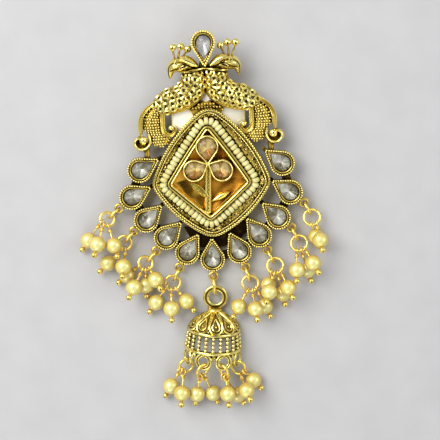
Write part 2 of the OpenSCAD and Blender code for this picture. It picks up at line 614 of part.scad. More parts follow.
// The eye's axis follows the ring's wire as far as the pin's direction lets it.
function loop_eye(q, p) = let (
    t = cos(p[3]) * loop_ring_up(q) - sin(p[3]) * loop_ring_dir(q),
    d = unit(spot(p) - loop_hung(q, p)))
  unit(t - (t * d) * d);
module jhumka_rings() {
  color(gold) place() for (q = LOOPS)
    translate(loop_ring_at(q)) along(cross(loop_ring_dir(q), loop_ring_up(q)))
      torus(LOOP_RING_R, ring_wire_r);
}
module jhumka_pearls() {
  color("bisque") place() for (q = LOOPS, p = q[4]) pearl(loop_hung(q, p), spot(p));
}
module jhumka_pins() {
  color(gold) place() for (q = LOOPS, p = q[4])
    head_pin(loop_hung(q, p), spot(p), loop_eye(q, p));
}

cast_frame();
pin_stem();
seed_bead_string();
top_stone();
for (i = [1:3]) flower_stone(i - 1);
for (i = [1:11]) fan_stone(i - 1);
for (i = [1:8]) link(i - 1);
bell_link();
for (i = [1:8]) jump_ring(i - 1);
for (i = [1:8]) pearls(i - 1);
for (i = [1:8]) head_pins(i - 1);
jhumka_bell();
jhumka_rings();
jhumka_pearls();
jhumka_pins();
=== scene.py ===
"""Dresses a gilt bird brooch: casting, stones, seed beads, pearl clusters and bell.

Sizes are millimetres in the casting's or the ground's axes, and turn into metres where a piece is
made. The casting's axes lean back by LEAN, and both have the kite's centre as their origin.
"""

import logging
import math
from dataclasses import dataclass, field
from enum import Enum
from typing import Callable, Optional, Sequence

import bmesh
import bpy
import numpy as np
from mathutils import Matrix, Vector


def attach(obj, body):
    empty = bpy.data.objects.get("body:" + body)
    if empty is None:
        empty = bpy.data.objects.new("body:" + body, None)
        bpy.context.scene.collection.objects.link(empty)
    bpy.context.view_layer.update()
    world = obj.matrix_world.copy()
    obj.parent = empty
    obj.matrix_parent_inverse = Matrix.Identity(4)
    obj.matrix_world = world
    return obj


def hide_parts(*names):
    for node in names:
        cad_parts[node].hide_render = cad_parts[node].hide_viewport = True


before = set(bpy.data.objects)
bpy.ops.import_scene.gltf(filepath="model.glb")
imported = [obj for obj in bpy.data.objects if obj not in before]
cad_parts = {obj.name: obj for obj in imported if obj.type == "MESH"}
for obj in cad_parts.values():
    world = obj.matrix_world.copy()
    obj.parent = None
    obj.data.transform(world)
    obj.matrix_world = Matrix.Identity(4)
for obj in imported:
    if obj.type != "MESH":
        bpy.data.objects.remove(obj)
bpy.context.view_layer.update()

Array = np.ndarray
Rows = Sequence[Sequence[float]]
Colour = tuple[float, float, float]
Material = bpy.types.Material
Socket = bpy.types.NodeSocket
Place = Callable[[Array], Array]
LOG = logging.getLogger("brooch")

MM = 0.001
LEAN = math.radians(5.5)
LIFT = 2.44
CENTRE = np.array([2.53, 12.37, 0.0])
EAST, NORTH, UP = np.eye(3)
TONE = "tone"


def unit(vectors: Array) -> Array:
    """Gives vectors of length one, along the last axis."""
    return vectors / np.maximum(np.linalg.norm(vectors, axis=-1, keepdims=True), 1e-12)


def heading(degrees: float, slope: float = 0.0) -> Array:
    """Gives the direction at an angle in the plane, and sloping up by a second angle."""
    a, b = math.radians(degrees), math.radians(slope)
    return np.array([math.cos(a) * math.cos(b), math.sin(a) * math.cos(b), math.sin(b)])


def on_ground(points: Array) -> Array:
    """Takes points from the ground's axes to the brooch's."""
    return points + CENTRE


def on_casting(points: Array) -> Array:
    """Takes points from the leaning casting's axes to the brooch's.

    Args:
        points: the points, with three columns.

    Returns:
        The same points in the brooch's axes.
    """
    x, y, z = points[..., 0], points[..., 1], points[..., 2]
    laid = [x, y * math.cos(LEAN) - z * math.sin(LEAN), y * math.sin(LEAN) + z * math.cos(LEAN) + LIFT]
    return np.stack(laid, axis=-1) + CENTRE


def at_height(outline: Array, z: float) -> Array:
    """Lifts a flat outline to a height."""
    return np.column_stack([outline[:, :2], np.full(len(outline), z)])


def rectangle(x: float, y: float, half_x: float, half_y: float) -> Array:
    """Draws a rectangle from its middle and half of its sides."""
    return np.array([x, y]) + [[-half_x, -half_y], [half_x, -half_y], [half_x, half_y], [-half_x, half_y]]


def spokes(angles: Array) -> Array:
    """Gives unit vectors in the plane at angles in radians."""
    return np.stack([np.cos(angles), np.sin(angles)], axis=1)


def bent(angles: Array, across: Array, up: Array) -> Array:
    """Gives the direction at each angle, in radians, from one direction to another."""
    return np.cos(angles)[..., None] * across + np.sin(angles)[..., None] * up


def circle(steps: int, across: Array, up: Array) -> Array:
    """Gives the spokes of a circle in the plane of two directions."""
    return bent(math.tau * np.arange(steps) / steps, across, up)


def show(name: str, data: bpy.types.ID) -> bpy.types.Object:
    """Makes an object of a mesh, light or camera and puts it into the scene.

    Args:
        name: the object's name.
        data: what it shows.

    Returns:
        The object.
    """
    made = bpy.data.objects.new(name, data)
    bpy.context.scene.collection.objects.link(made)
    return made


def fill_ramp(node: bpy.types.Node, stops: Sequence[tuple[float, Colour]]) -> None:
    """Sets the stops of a colour ramp.

    Args:
        node: the ramp's node.
        stops: place and colour of each stop.
    """
    bar = node.color_ramp.elements
    while len(bar) < len(stops):
        bar.new(0.5)
    for stop, (at, colour) in zip(bar, stops):
        stop.position = at
        stop.color = (*colour, 1.0)


def turned(outline: Rows, degrees: float, x: float = 0.0, y: float = 0.0) -> Array:
    """Turns points about Z and moves them.

    Args:
        outline: points with two or three columns.
        degrees: angle of the turn.
        x: move along X after the turn.
        y: move along Y after the turn.

    Returns:
        The moved points.
    """
    c, s = math.cos(math.radians(degrees)), math.sin(math.radians(degrees))
    outline = np.asarray(outline, float)
    moved = outline.copy()
    moved[..., 0] = outline[..., 0] * c - outline[..., 1] * s + x
    moved[..., 1] = outline[..., 0] * s + outline[..., 1] * c + y
    return moved


def resample(path: Array, spacing: float, closed: bool) -> Array:
    """Puts points at even steps along a path.

    Args:
        path: the path's points.
        spacing: wanted step.
        closed: whether the path's end joins its start.

    Returns:
        The new points.
    """
    line = np.vstack([path, path[:1]]) if closed else path
    run = np.concatenate([[0.0], np.cumsum(np.linalg.norm(np.diff(line, axis=0), axis=1))])
    count = max(3, round(run[-1] / spacing))
    at = np.linspace(0.0, run[-1], count + 1)[: count if closed else None]
    return np.stack([np.interp(at, run, line[:, k]) for k in range(line.shape[1])], axis=1)


def tangents(path: Array, closed: bool) -> Array:
    """Gives the direction of a path at each of its points."""
    if closed:
        return unit(np.roll(path, -1, axis=0) - np.roll(path, 1, axis=0))
    return unit(np.gradient(path, axis=0))


def flow(rows: Rows, steps: int) -> Array:
    """Draws a smooth curve through rows of numbers.

    Args:
        rows: one row for each station.
        steps: points between two stations.

    Returns:
        The rows of the smooth curve.
    """
    rows = np.asarray(rows, float)
    ends = np.vstack([2 * rows[0] - rows[1], rows, 2 * rows[-1] - rows[-2]])
    t = np.linspace(0, 1, steps, endpoint=False)[:, None]
    parts = []
    for a, b, c, d in zip(ends[:-3], ends[1:-2], ends[2:-1], ends[3:]):
        parts.append(0.5 * (2 * b + (c - a) * t + (2 * a - 5 * b + 4 * c - d) * t**2
                            + (3 * b - a - 3 * c + d) * t**3))
    return np.vstack(parts + [rows[-1:]])


@dataclass(frozen=True)
class Kite:
    """Kite outline with rounded corners and bowed sides."""

    middle_x: float
    top_y: float
    half_w: float
    corner_y: float
    bottom_y: float
    top_r: float
    side_r: float
    bottom_r: float
    upper_bow: float
    lower_bow: float

    def outline(self, inset: float = 0.0, steps: int = 24) -> Array:
        """Draws the kite.

        Args:
            inset: distance inside the outer line.
            steps: points for each side and for each corner.

        Returns:
            The outline's points, from the right corner and to the left.
        """
        x, y = self.middle_x, self.corner_y
        corners = [(np.array([x + self.half_w - self.side_r, y]), self.side_r),
                   (np.array([x, self.top_y - self.top_r]), self.top_r),
                   (np.array([x - self.half_w + self.side_r, y]), self.side_r),
                   (np.array([x, self.bottom_y + self.bottom_r]), self.bottom_r)]
        bows = [self.upper_bow, self.upper_bow, self.lower_bow, self.lower_bow]
        middles = []
        for i in range(4):
            (a, ra), (b, rb), bow = corners[i], corners[(i + 1) % 4], bows[i]
            gap = np.linalg.norm(b - a)
            e = (b - a) / gap
            along = ((bow - ra) ** 2 - (bow - rb) ** 2 + gap**2) / (2 * gap)
            middles.append(a + along * e + math.sqrt((bow - ra) ** 2 - along**2) * np.array([-e[1], e[0]]))
        points = []
        for i in range(4):
            j = (i + 1) % 4
            ways = (corners[i][0] - middles[i], corners[j][0] - middles[i], corners[j][0] - middles[j])
            a, b, e = (math.atan2(way[1], way[0]) for way in ways)
            sides = np.arange(steps + 1) / steps
            points.append(middles[i] + (bows[i] - inset) * spokes(a + (b - a) % math.tau * sides))
            turn = sides[1:-1]
            points.append(corners[j][0] + (corners[j][1] - inset) * spokes(b + (e - b) % math.tau * turn))
        return np.vstack(points)


@dataclass(frozen=True)
class Drop:
    """Drop outline with its round end's centre at (x, y) and its tip at a heading."""

    x: float
    y: float
    tip: float
    r: float
    tip_r: float
    slope: float

    def outline(self, inset: float = 0.0, steps: int = 40) -> Array:
        """Draws the drop.

        Args:
            inset: distance inside the outer line.
            steps: steps round the round end.

        Returns:
            The outline's points.
        """
        a = math.acos(self.slope)
        r, q = self.r - inset, max(self.tip_r - inset, 0.08)
        end = a + np.arange(steps + 1) * (math.tau - 2 * a) / steps
        nose = a * (np.arange(7) / 3 - 1)
        return self.place(np.vstack([r * spokes(end), [(r - q) / self.slope, 0] + q * spokes(nose)]))

    def place(self, points: Array) -> Array:
        """Takes points from the drop's own axes to the casting's."""
        return turned(points, self.tip, self.x, self.y)


@dataclass(frozen=True)
class Form:
    """A small shape that is used many times."""

    points: Array
    faces: tuple[Array, ...]

    @staticmethod
    def ball(segments: int = 10, rings: int = 7) -> "Form":
        """Makes a ball of radius one.

        Args:
            segments: steps round.
            rings: steps from pole to pole.

        Returns:
            The ball.
        """
        polar = np.pi * np.arange(1, rings) / rings
        turn = math.tau * np.arange(segments) / segments
        body = np.array([[math.sin(p) * math.cos(t), math.sin(p) * math.sin(t), math.cos(p)]
                         for p in polar for t in turn])
        points = np.vstack([body, [[0, 0, 1], [0, 0, -1]]])
        quads, top, low = grid_faces(rings - 1, segments, True, False), len(body), len(body) + 1
        k = np.arange(segments)
        last = (rings - 2) * segments
        caps = np.vstack([np.column_stack([np.full(segments, top), k, (k + 1) % segments]),
                          np.column_stack([np.full(segments, low), last + (k + 1) % segments, last + k])])
        return Form(points, (quads, caps))

    @staticmethod
    def ring(major: float, minor: float, segments: int = 14, sides: int = 7) -> "Form":
        """Makes a ring of round wire about Z.

        Args:
            major: the ring's radius.
            minor: the wire's radius.
            segments: steps round.
            sides: sides of the wire.

        Returns:
            The ring.
        """
        section = [(major + minor * math.cos(a), minor * math.sin(a))
                   for a in math.tau * np.arange(sides) / sides]
        return Form.lathe(section, segments)

    @staticmethod
    def lathe(section: Rows, segments: int) -> "Form":
        """Turns a closed section of radii and heights about Z.

        Args:
            section: radius and height of each point.
            segments: steps round.

        Returns:
            The turned form.
        """
        turn = math.tau * np.arange(segments) / segments
        points = np.array([[r * math.cos(t), r * math.sin(t), z] for t in turn for r, z in section])
        return Form(points, (grid_faces(segments, len(section), True, True),))


def grid_faces(rows: int, columns: int, closed: bool, wrapped: bool) -> Array:
    """Lists the four-sided faces of a grid of points.

    Args:
        rows: rows of points.
        columns: points in a row.
        closed: whether each row's end joins its start.
        wrapped: whether the last row joins the first.

    Returns:
        Four point numbers for each face.
    """
    k, i = np.meshgrid(np.arange(rows if wrapped else rows - 1),
                       np.arange(columns if closed else columns - 1), indexing="ij")
    k, i = k.ravel(), i.ravel()
    k2, i2 = (k + 1) % rows, (i + 1) % columns
    return np.column_stack([k * columns + i, k * columns + i2, k2 * columns + i2, k2 * columns + i])


class Workpiece:
    """Gathers the points and faces of one piece, and makes its object."""

    def __init__(self, name: str, place: Place) -> None:
        """Starts an empty piece.

        Args:
            name: the object's name.
            place: takes the piece's points to the brooch's axes.
        """
        self.name = name
        self.place = place
        self.points: list[Array] = []
        self.tones: list[Array] = []
        self.faces: list[Array] = []
        self.coats: list[int] = []
        self.coat = 0
        self.count = 0

    def add(self, points: Array, faces: Sequence[Array], tone: float | Array = 0.0) -> None:
        """Adds points with their faces.

        Args:
            points: the new points.
            faces: arrays of point numbers, counted from the first new point.
            tone: how dark the patina and painted shade lie, from 0 to 1.
        """
        points = np.asarray(points, float).reshape(-1, 3)
        self.points.append(points)
        self.tones.append(np.broadcast_to(np.ravel(tone), (len(points),)))
        for block in faces:
            self.faces.append(block + self.count)
            self.coats += [self.coat] * len(block)
        self.count += len(points)

    def loft(self, rings: Array | Sequence[Array], closed: bool = True, wrapped: bool = False,
             caps: tuple[bool, bool] = (True, True), tone: float | Array = 0.0) -> None:
        """Joins rings of points by a skin.

        Args:
            rings: rings with the same number of points.
            closed: whether each ring's end joins its start.
            wrapped: whether the last ring joins the first.
            caps: whether the first and whether the last ring is filled.
            tone: one tone, or one for each ring or point.
        """
        rings = np.asarray(rings, float)
        rows, columns = rings.shape[:2]
        if np.size(tone) == rows:
            tone = np.repeat(np.asarray(tone, float), columns)
        elif np.size(tone) == 1:
            tone = np.full(rows * columns, float(np.ravel(tone)[0]))
        faces = [grid_faces(rows, columns, closed, wrapped)]
        points, tone = rings.reshape(-1, 3), np.ravel(tone)
        for ring, start, filled in ((rings[0], 0, caps[0]), (rings[-1], (rows - 1) * columns, caps[1])):
            if filled and not wrapped:
                points, tone = np.vstack([points, ring.mean(axis=0)]), np.append(tone, tone[start])
                k = start + np.arange(columns)
                nxt = start + (np.arange(columns) + 1) % columns
                faces.append(np.column_stack([np.full(columns, len(points) - 1), k, nxt]))
        self.add(points, faces, tone)

    def stamp(self, form: Form, origins: Array, axes: Array, tone: float | Array = 0.0) -> None:
        """Puts a form at many places.

        Args:
            form: the shape that is repeated.
            origins: a place for each copy.
            axes: for each copy, where its X, Y and Z go, with their lengths.
            tone: one tone, or one for each copy.
        """
        copies, size = len(origins), len(form.points)
        axes = np.broadcast_to(axes, (copies, 3, 3))
        points = origins[:, None, :] + np.einsum("pi,kij->kpj", form.points, axes)
        shift = (np.arange(copies) * size)[:, None, None]
        faces = [(block[None] + shift).reshape(-1, block.shape[1]) for block in form.faces]
        tone = np.repeat(np.broadcast_to(np.ravel(tone), (copies,)), size)
        self.add(points, faces, tone)

    def tube(self, path: Array, radius: float | Array, sides: int = 10, closed: bool = False,
             side: Optional[Array] = None, tone: float | Array = 0.0, flat: float = 1.0) -> None:
        """Draws a wire along a path.

        Args:
            path: the wire's middle line.
            radius: one radius, or one for each point.
            sides: sides of the section.
            closed: whether the wire's end joins its start.
            side: a direction square to the path for each point, where the section starts.
            tone: one tone, or one for each point.
            flat: height of the section as a share of its width.
        """
        along = tangents(path, closed)
        if side is None:
            side = np.empty_like(path)
            pick = UP if abs(along[0][2]) < 0.9 else EAST
            last = unit(np.cross(pick, along[0]))
            for k, t in enumerate(along):
                last = unit(last - np.dot(last, t) * t)
                side[k] = last
        other = np.cross(along, side)
        a = math.tau * (np.arange(sides) + 0.5) / sides
        r = np.broadcast_to(np.ravel(radius), (len(path),))[:, None, None]
        rings = path[:, None, :] + r * (np.cos(a)[None, :, None] * side[:, None, :]
                                        + flat * np.sin(a)[None, :, None] * other[:, None, :])
        self.loft(rings, wrapped=closed, tone=tone)

    def twisted_wire(self, path: Array, radius: float, pitch: float, closed: bool = True,
                     hand: int = 1, tone: float = 0.0) -> None:
        """Draws two wires twisted round each other.

        Args:
            path: the middle line of the twist.
            radius: radius of the whole.
            pitch: length of a full turn.
            closed: whether the end joins the start.
            hand: 1 or -1, the sense of the turn.
            tone: how dark the patina lies.
        """
        core = resample(path, pitch / 10, closed)
        along = tangents(core, closed)
        left = unit(np.cross(UP, along))
        high = np.cross(along, left)
        turns = round(len(core) / 10)
        phase = hand * math.tau * turns * np.arange(len(core)) / len(core)
        for start in (0.0, math.pi):
            out = bent(phase + start, left, high)
            self.tube(core + out * radius * 0.54, radius * 0.5, 7, closed, out, tone)

    def balls(self, at: Array | Sequence[float], radii: float | Sequence[float], tone: float = 0.0,
              form: Optional[Form] = None) -> None:
        """Sets balls or flattened balls at one place or at many.

        Args:
            at: one place, or a row for each ball.
            radii: their radius, or their half sizes along X, Y and Z.
            tone: how dark the patina and painted shade lie.
            form: a finer ball in place of the usual one.
        """
        self.stamp(form or BALL, np.reshape(at, (-1, 3)), np.diag(np.broadcast_to(radii, (3,))), tone)

    def walls(self, line: Drop, section: Rows) -> None:
        """Builds the walls of a cup round its outline.

        Args:
            line: the cup's outline.
            section: inset, height and patina of each line of the wall.
        """
        rings = [at_height(line.outline(inset), z) for inset, z, _ in section]
        self.loft(rings, tone=np.array([tone for *_, tone in section]))

    def slab(self, outline: Rows, low: float, high: float, bevel: float, tone: float = 0.0) -> None:
        """Makes a flat plate with a rounded upper edge.

        Args:
            outline: the plate's outline, which bulges everywhere.
            low: height of its underside.
            high: height of its top.
            bevel: size of the rounded edge.
            tone: how dark the patina and painted shade lie.
        """
        outline = np.asarray(outline, float)
        middle = outline.mean(axis=0)
        reach = np.linalg.norm(outline - middle, axis=1, keepdims=True)
        rings = [at_height(outline, low)]
        for step in (0.0, 0.5, 1.0):
            cut = bevel * (1 - math.cos(step * math.pi / 2))
            rings.append(at_height(middle + (outline - middle) * (1 - cut / reach),
                                   high - bevel * (1 - math.sin(step * math.pi / 2))))
        self.loft(rings, tone=tone)

    def make(self, coats: Sequence[Material], slot: str, replaces: Sequence[str],
             sharp: float = 42.0) -> bpy.types.Object:
        """Makes the object, dresses it and joins it to the frame.

        Args:
            coats: the piece's materials, in the order of its coat numbers.
            slot: the record's slot that the finish belongs to; not used.
            replaces: the nodes that the piece stands for.
            sharp: angle in degrees from which an edge stays crisp.

        Returns:
            The finished object.
        """
        mesh = bpy.data.meshes.new(self.name)
        points = self.place(np.vstack(self.points)) * MM
        mesh.from_pydata(points.tolist(), [], [f for block in self.faces for f in block.tolist()])
        mesh.attributes.new(TONE, "FLOAT", "POINT").data.foreach_set(
            "value", np.clip(np.concatenate(self.tones), 0, 1).astype(np.float32))
        mesh.polygons.foreach_set("material_index", self.coats)
        work = bmesh.new()
        work.from_mesh(mesh)
        bmesh.ops.recalc_face_normals(work, faces=work.faces)
        work.to_mesh(mesh)
        work.free()
        mesh.polygons.foreach_set("use_smooth", [sharp > 0] * len(mesh.polygons))
        if sharp > 0:
            mesh.set_sharp_from_angle(angle=math.radians(sharp))
        for coat in coats:
            mesh.materials.append(coat)
        piece = show(self.name, mesh)
        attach(piece, "root")
        if replaces:
            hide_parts(*replaces)
        faces = sum(len(p.vertices) - 2 for p in mesh.polygons)
        LOG.info("%s: %d triangles", self.name, faces)
        return piece


BALL = Form.ball()
FINE_BALL = Form.ball(18, 12)


class Recipe:
    """A material's nodes in the making."""

    def __init__(self, name: str) -> None:
        """Starts a material with one shader.

        Args:
            name: the material's name.
        """
        self.material = bpy.data.materials.new(name)
        self.material.use_nodes = True
        self.tree = self.material.node_tree
        self.tree.nodes.clear()
        self.shader = self.node("ShaderNodeBsdfPrincipled")
        out = self.node("ShaderNodeOutputMaterial")
        self.tree.links.new(self.shader.outputs[0], out.inputs["Surface"])
        self.coords = self.node("ShaderNodeTexCoord").outputs["Object"]

    def node(self, kind: str, **values: object) -> bpy.types.Node:
        """Adds a node.

        Args:
            kind: the node's type.
            values: properties by name, or inputs by name with spaces as underscores.

        Returns:
            The new node.
        """
        node = self.tree.nodes.new(kind)
        for key, value in values.items():
            if hasattr(node, key):
                setattr(node, key, value)
            else:
                self.feed(node.inputs[key.replace("_", " ")], value)
        return node

    def feed(self, socket: Socket, value: object) -> None:
        """Links a socket to an input, or sets the input to a number or colour.

        Args:
            socket: the input.
            value: the socket, number or colour that it gets.
        """
        if isinstance(value, Socket):
            self.tree.links.new(value, socket)
        else:
            socket.default_value = value

    def noise(self, size: float, detail: float = 2.0, rough: float = 0.5) -> Socket:
        """Gives a noise whose patches are about size millimetres wide."""
        return self.node("ShaderNodeTexNoise", Vector=self.coords, Scale=1.0 / (size * MM),
                         Detail=detail, Roughness=rough).outputs[0]

    def math(self, operation: str, a: object, b: object = 0.0, clamp: bool = False) -> Socket:
        """Combines two values.

        Args:
            operation: the sum, product or other operation.
            a: first value or socket.
            b: second value or socket.
            clamp: whether the result is kept from 0 to 1.

        Returns:
            The result's socket.
        """
        node = self.node("ShaderNodeMath", operation=operation, use_clamp=clamp)
        self.feed(node.inputs[0], a)
        self.feed(node.inputs[1], b)
        return node.outputs[0]

    def ramp(self, value: object, stops: Sequence[tuple[float, Colour]]) -> Socket:
        """Turns a value into a colour.

        Args:
            value: the socket that drives the ramp.
            stops: place and colour of each stop.

        Returns:
            The colour's socket.
        """
        node = self.node("ShaderNodeValToRGB")
        fill_ramp(node, stops)
        self.feed(node.inputs[0], value)
        return node.outputs[0]

    def span(self, value: object, low: float, high: float) -> Socket:
        """Stretches a value so that 0 becomes low and 1 becomes high."""
        return self.node("ShaderNodeMapRange", Value=value, To_Min=low, To_Max=high).outputs[0]

    def bump(self, height: object, depth: float, strength: float = 1.0) -> None:
        """Presses a height into the surface, depth in millimetres."""
        node = self.node("ShaderNodeBump", Height=height, Strength=strength, Distance=depth * MM)
        self.tree.links.new(node.outputs[0], self.shader.inputs["Normal"])

    def set(self, **values: object) -> None:
        """Sets or links the shader's inputs by name."""
        for key, value in values.items():
            self.feed(self.shader.inputs[key.replace("_", " ")], value)

    def tone(self) -> Socket:
        """Gives the patina and painted shade that the mesh carries."""
        return self.node("ShaderNodeAttribute", attribute_name=TONE).outputs["Fac"]

    def hollow(self, reach: float) -> Socket:
        """Gives how deep a point lies between its neighbours, up to reach in millimetres."""
        node = self.node("ShaderNodeAmbientOcclusion", samples=6, Distance=reach * MM)
        return self.math("SUBTRACT", 1.0, node.outputs["AO"], clamp=True)


@dataclass(frozen=True)
class GoldFinish:
    """Gilt metal with a dark patina in its hollows, and the painted shade and painted reflections that
    some pieces carry in their tone.
    """

    name: str
    bright: Colour = (0.97, 0.86, 0.29)
    amber: Colour = (0.76, 0.56, 0.10)
    brown: Colour = (0.21, 0.125, 0.018)
    black: Colour = (0.016, 0.010, 0.004)
    hollow_reach: float = 0.8
    hollow_weight: float = 0.85
    gloss: float = 0.13
    hammer: float = 0.012
    hammer_size: float = 0.45
    cloud: float = 0.28

    def material(self) -> Material:
        """Builds the finish.

        Returns:
            The material.
        """
        r = Recipe(self.name)
        cloud = r.math("MULTIPLY", r.math("SUBTRACT", r.noise(1.6, 3.0), 0.5), self.cloud)
        deep = r.math("MULTIPLY", r.hollow(self.hollow_reach), self.hollow_weight)
        # The tone holds patina, and on some pieces painted shade and painted reflections; both darken the
        # gilt here.
        patina_and_painted_shade = r.math("ADD", r.math("ADD", r.tone(), deep), cloud, clamp=True)
        r.set(Base_Color=r.ramp(patina_and_painted_shade, [(0.0, self.bright), (0.42, self.amber), (0.74, self.brown),
                                       (1.0, self.black)]),
              Metallic=1.0,
              Roughness=r.math("ADD", r.span(patina_and_painted_shade, self.gloss, 0.5),
                               r.math("MULTIPLY", r.noise(0.3), 0.08)))
        r.bump(r.noise(self.hammer_size, 2.0), self.hammer)
        return r.material


@dataclass(frozen=True)
class SteelFinish:
    """Drawn pin wire with fine lines along it."""

    name: str = "pin_wire_steel"

    def material(self) -> Material:
        """Builds the finish.

        Returns:
            The material.
        """
        r = Recipe(self.name)
        stretched = r.node("ShaderNodeMapping", Vector=r.coords, Scale=(150.0, 9000.0, 9000.0))
        lines = r.node("ShaderNodeTexNoise", Vector=stretched.outputs[0], Scale=1.0).outputs[0]
        r.set(Base_Color=r.ramp(lines, [(0.3, (0.50, 0.48, 0.45)), (0.7, (0.74, 0.72, 0.69))]),
              Metallic=1.0, Roughness=r.span(lines, 0.22, 0.38))
        r.bump(lines, 0.004)
        return r.material


@dataclass(frozen=True)
class StoneFinish:
    """Clear cut stone: its tinted glass and the foil behind it."""

    name: str
    glass: Colour
    foil_dark_painted_reflection: Colour
    foil_light_painted_reflection: Colour

    def material(self) -> Material:
        """Builds the glass of the crown.

        Returns:
            The material.
        """
        r = Recipe(self.name)
        r.set(Base_Color=(*self.glass, 1.0), Roughness=r.span(r.noise(0.8), 0.02, 0.10),
              IOR=1.46, Transmission_Weight=1.0)
        r.bump(r.noise(0.25), 0.002)
        return r.material

    def foil(self) -> Material:
        """Builds the foil under the stone, its colour carrying the painted reflections of the facets.

        Returns:
            The material.
        """
        r = Recipe(self.name + "_foil")
        cloud = r.math("MULTIPLY", r.math("SUBTRACT", r.noise(1.3, 3.0), 0.5), 0.5)
        r.set(Base_Color=r.ramp(r.math("ADD", r.tone(), cloud, clamp=True),
                                [(0.1, self.foil_light_painted_reflection), (0.9, self.foil_dark_painted_reflection)]),
              Metallic=0.6, Roughness=r.span(r.noise(0.5), 0.34, 0.50))
        return r.material


@dataclass(frozen=True)
class PearlFinish:
    """Golden cream coat with a soft deep gloss."""

    name: str = "golden_pearl"

    def material(self) -> Material:
        """Builds the finish.

        Returns:
            The material.
        """
        r = Recipe(self.name)
        shade = r.math("ADD", r.math("MULTIPLY", r.tone(), 0.9), r.math("MULTIPLY", r.noise(2.6), 0.12))
        # The deep golden-brown end of the ramp is painted shade on the pearls' sides and undersides.
        r.set(Base_Color=r.ramp(shade, [(0.05, (0.81, 0.80, 0.36)), (0.32, (0.78, 0.69, 0.21)),
                                        (0.60, (0.70, 0.50, 0.10)), (0.95, (0.54, 0.33, 0.06))]),
              Metallic=0.30, Roughness=r.span(r.noise(0.9), 0.26, 0.34), Coat_Weight=0.7,
              Coat_Roughness=0.22, Specular_IOR_Level=0.5)
        r.bump(r.noise(0.8, 2.0), 0.002)
        return r.material


@dataclass(frozen=True)
class BeadFinish:
    """Ivory glass of the seed beads, each a little different."""

    name: str = "ivory_seed_glass"

    def material(self) -> Material:
        """Builds the finish.

        Returns:
            The material.
        """
        r = Recipe(self.name)
        shade = r.math("ADD", r.math("MULTIPLY", r.tone(), 0.7), r.math("MULTIPLY", r.noise(1.0), 0.35))
        r.set(Base_Color=r.ramp(shade, [(0.15, (0.76, 0.72, 0.36)), (0.5, (0.66, 0.60, 0.23)),
                                        (0.95, (0.44, 0.34, 0.08))]),
              Roughness=r.span(r.noise(0.4), 0.18, 0.34), Subsurface_Weight=0.35,
              Subsurface_Scale=0.0008, Coat_Weight=0.4, Coat_Roughness=0.12)
        r.bump(r.noise(0.2), 0.006)
        return r.material


KITE = Kite(0.15, 16, 14.65, -2.3, -16.05, 4.4, 3.9, 5.2, 35, 30)
FIELD = Kite(-0.35, 11.85, 10.3, -2.3, -11.6, 1.5, 1.45, 1.5, 160, 160)
FIELD_FLOOR = 1.7
# Fan cups from left to right round the bottom: x, y, direction of the tip, direction of the ear
FAN = ((-17.5, 1.3, 28, None), (-19.8, -5.4, 26, -141), (-16.5, -11.3, 41, -140),
       (-11.7, -15.9, 43, -129), (-6.6, -19.9, 57, -120), (-0.3, -21.9, 90, -90),
       (6.5, -20.1, 116, -72), (11.7, -16.2, 125, -66), (16.5, -11.8, 137, -42),
       (19.7, -5.6, 146, -40), (17.9, 1.7, 141, None))
MIDDLE_CUP = 5


class Assembly:
    """A sub-assembly, whose methods add their shapes to its piece."""

    name: str
    slot: str = "antique_gold"
    node: str = "cast_frame"
    sharp: float = 42.0
    piece: Workpiece

    def place(self, points: Array) -> Array:
        """Takes the sub-assembly's points to the brooch's axes."""
        return on_casting(points)

    def shape(self) -> None:
        """Adds the sub-assembly's shapes to its piece."""
        raise NotImplementedError

    def build(self, *coats: Material) -> None:
        """Makes the sub-assembly and dresses it.

        Args:
            coats: its finishes, in the order of its coat numbers.
        """
        self.piece = Workpiece(self.name, self.place)
        self.shape()
        self.piece.make(coats, self.slot, [self.node], self.sharp)


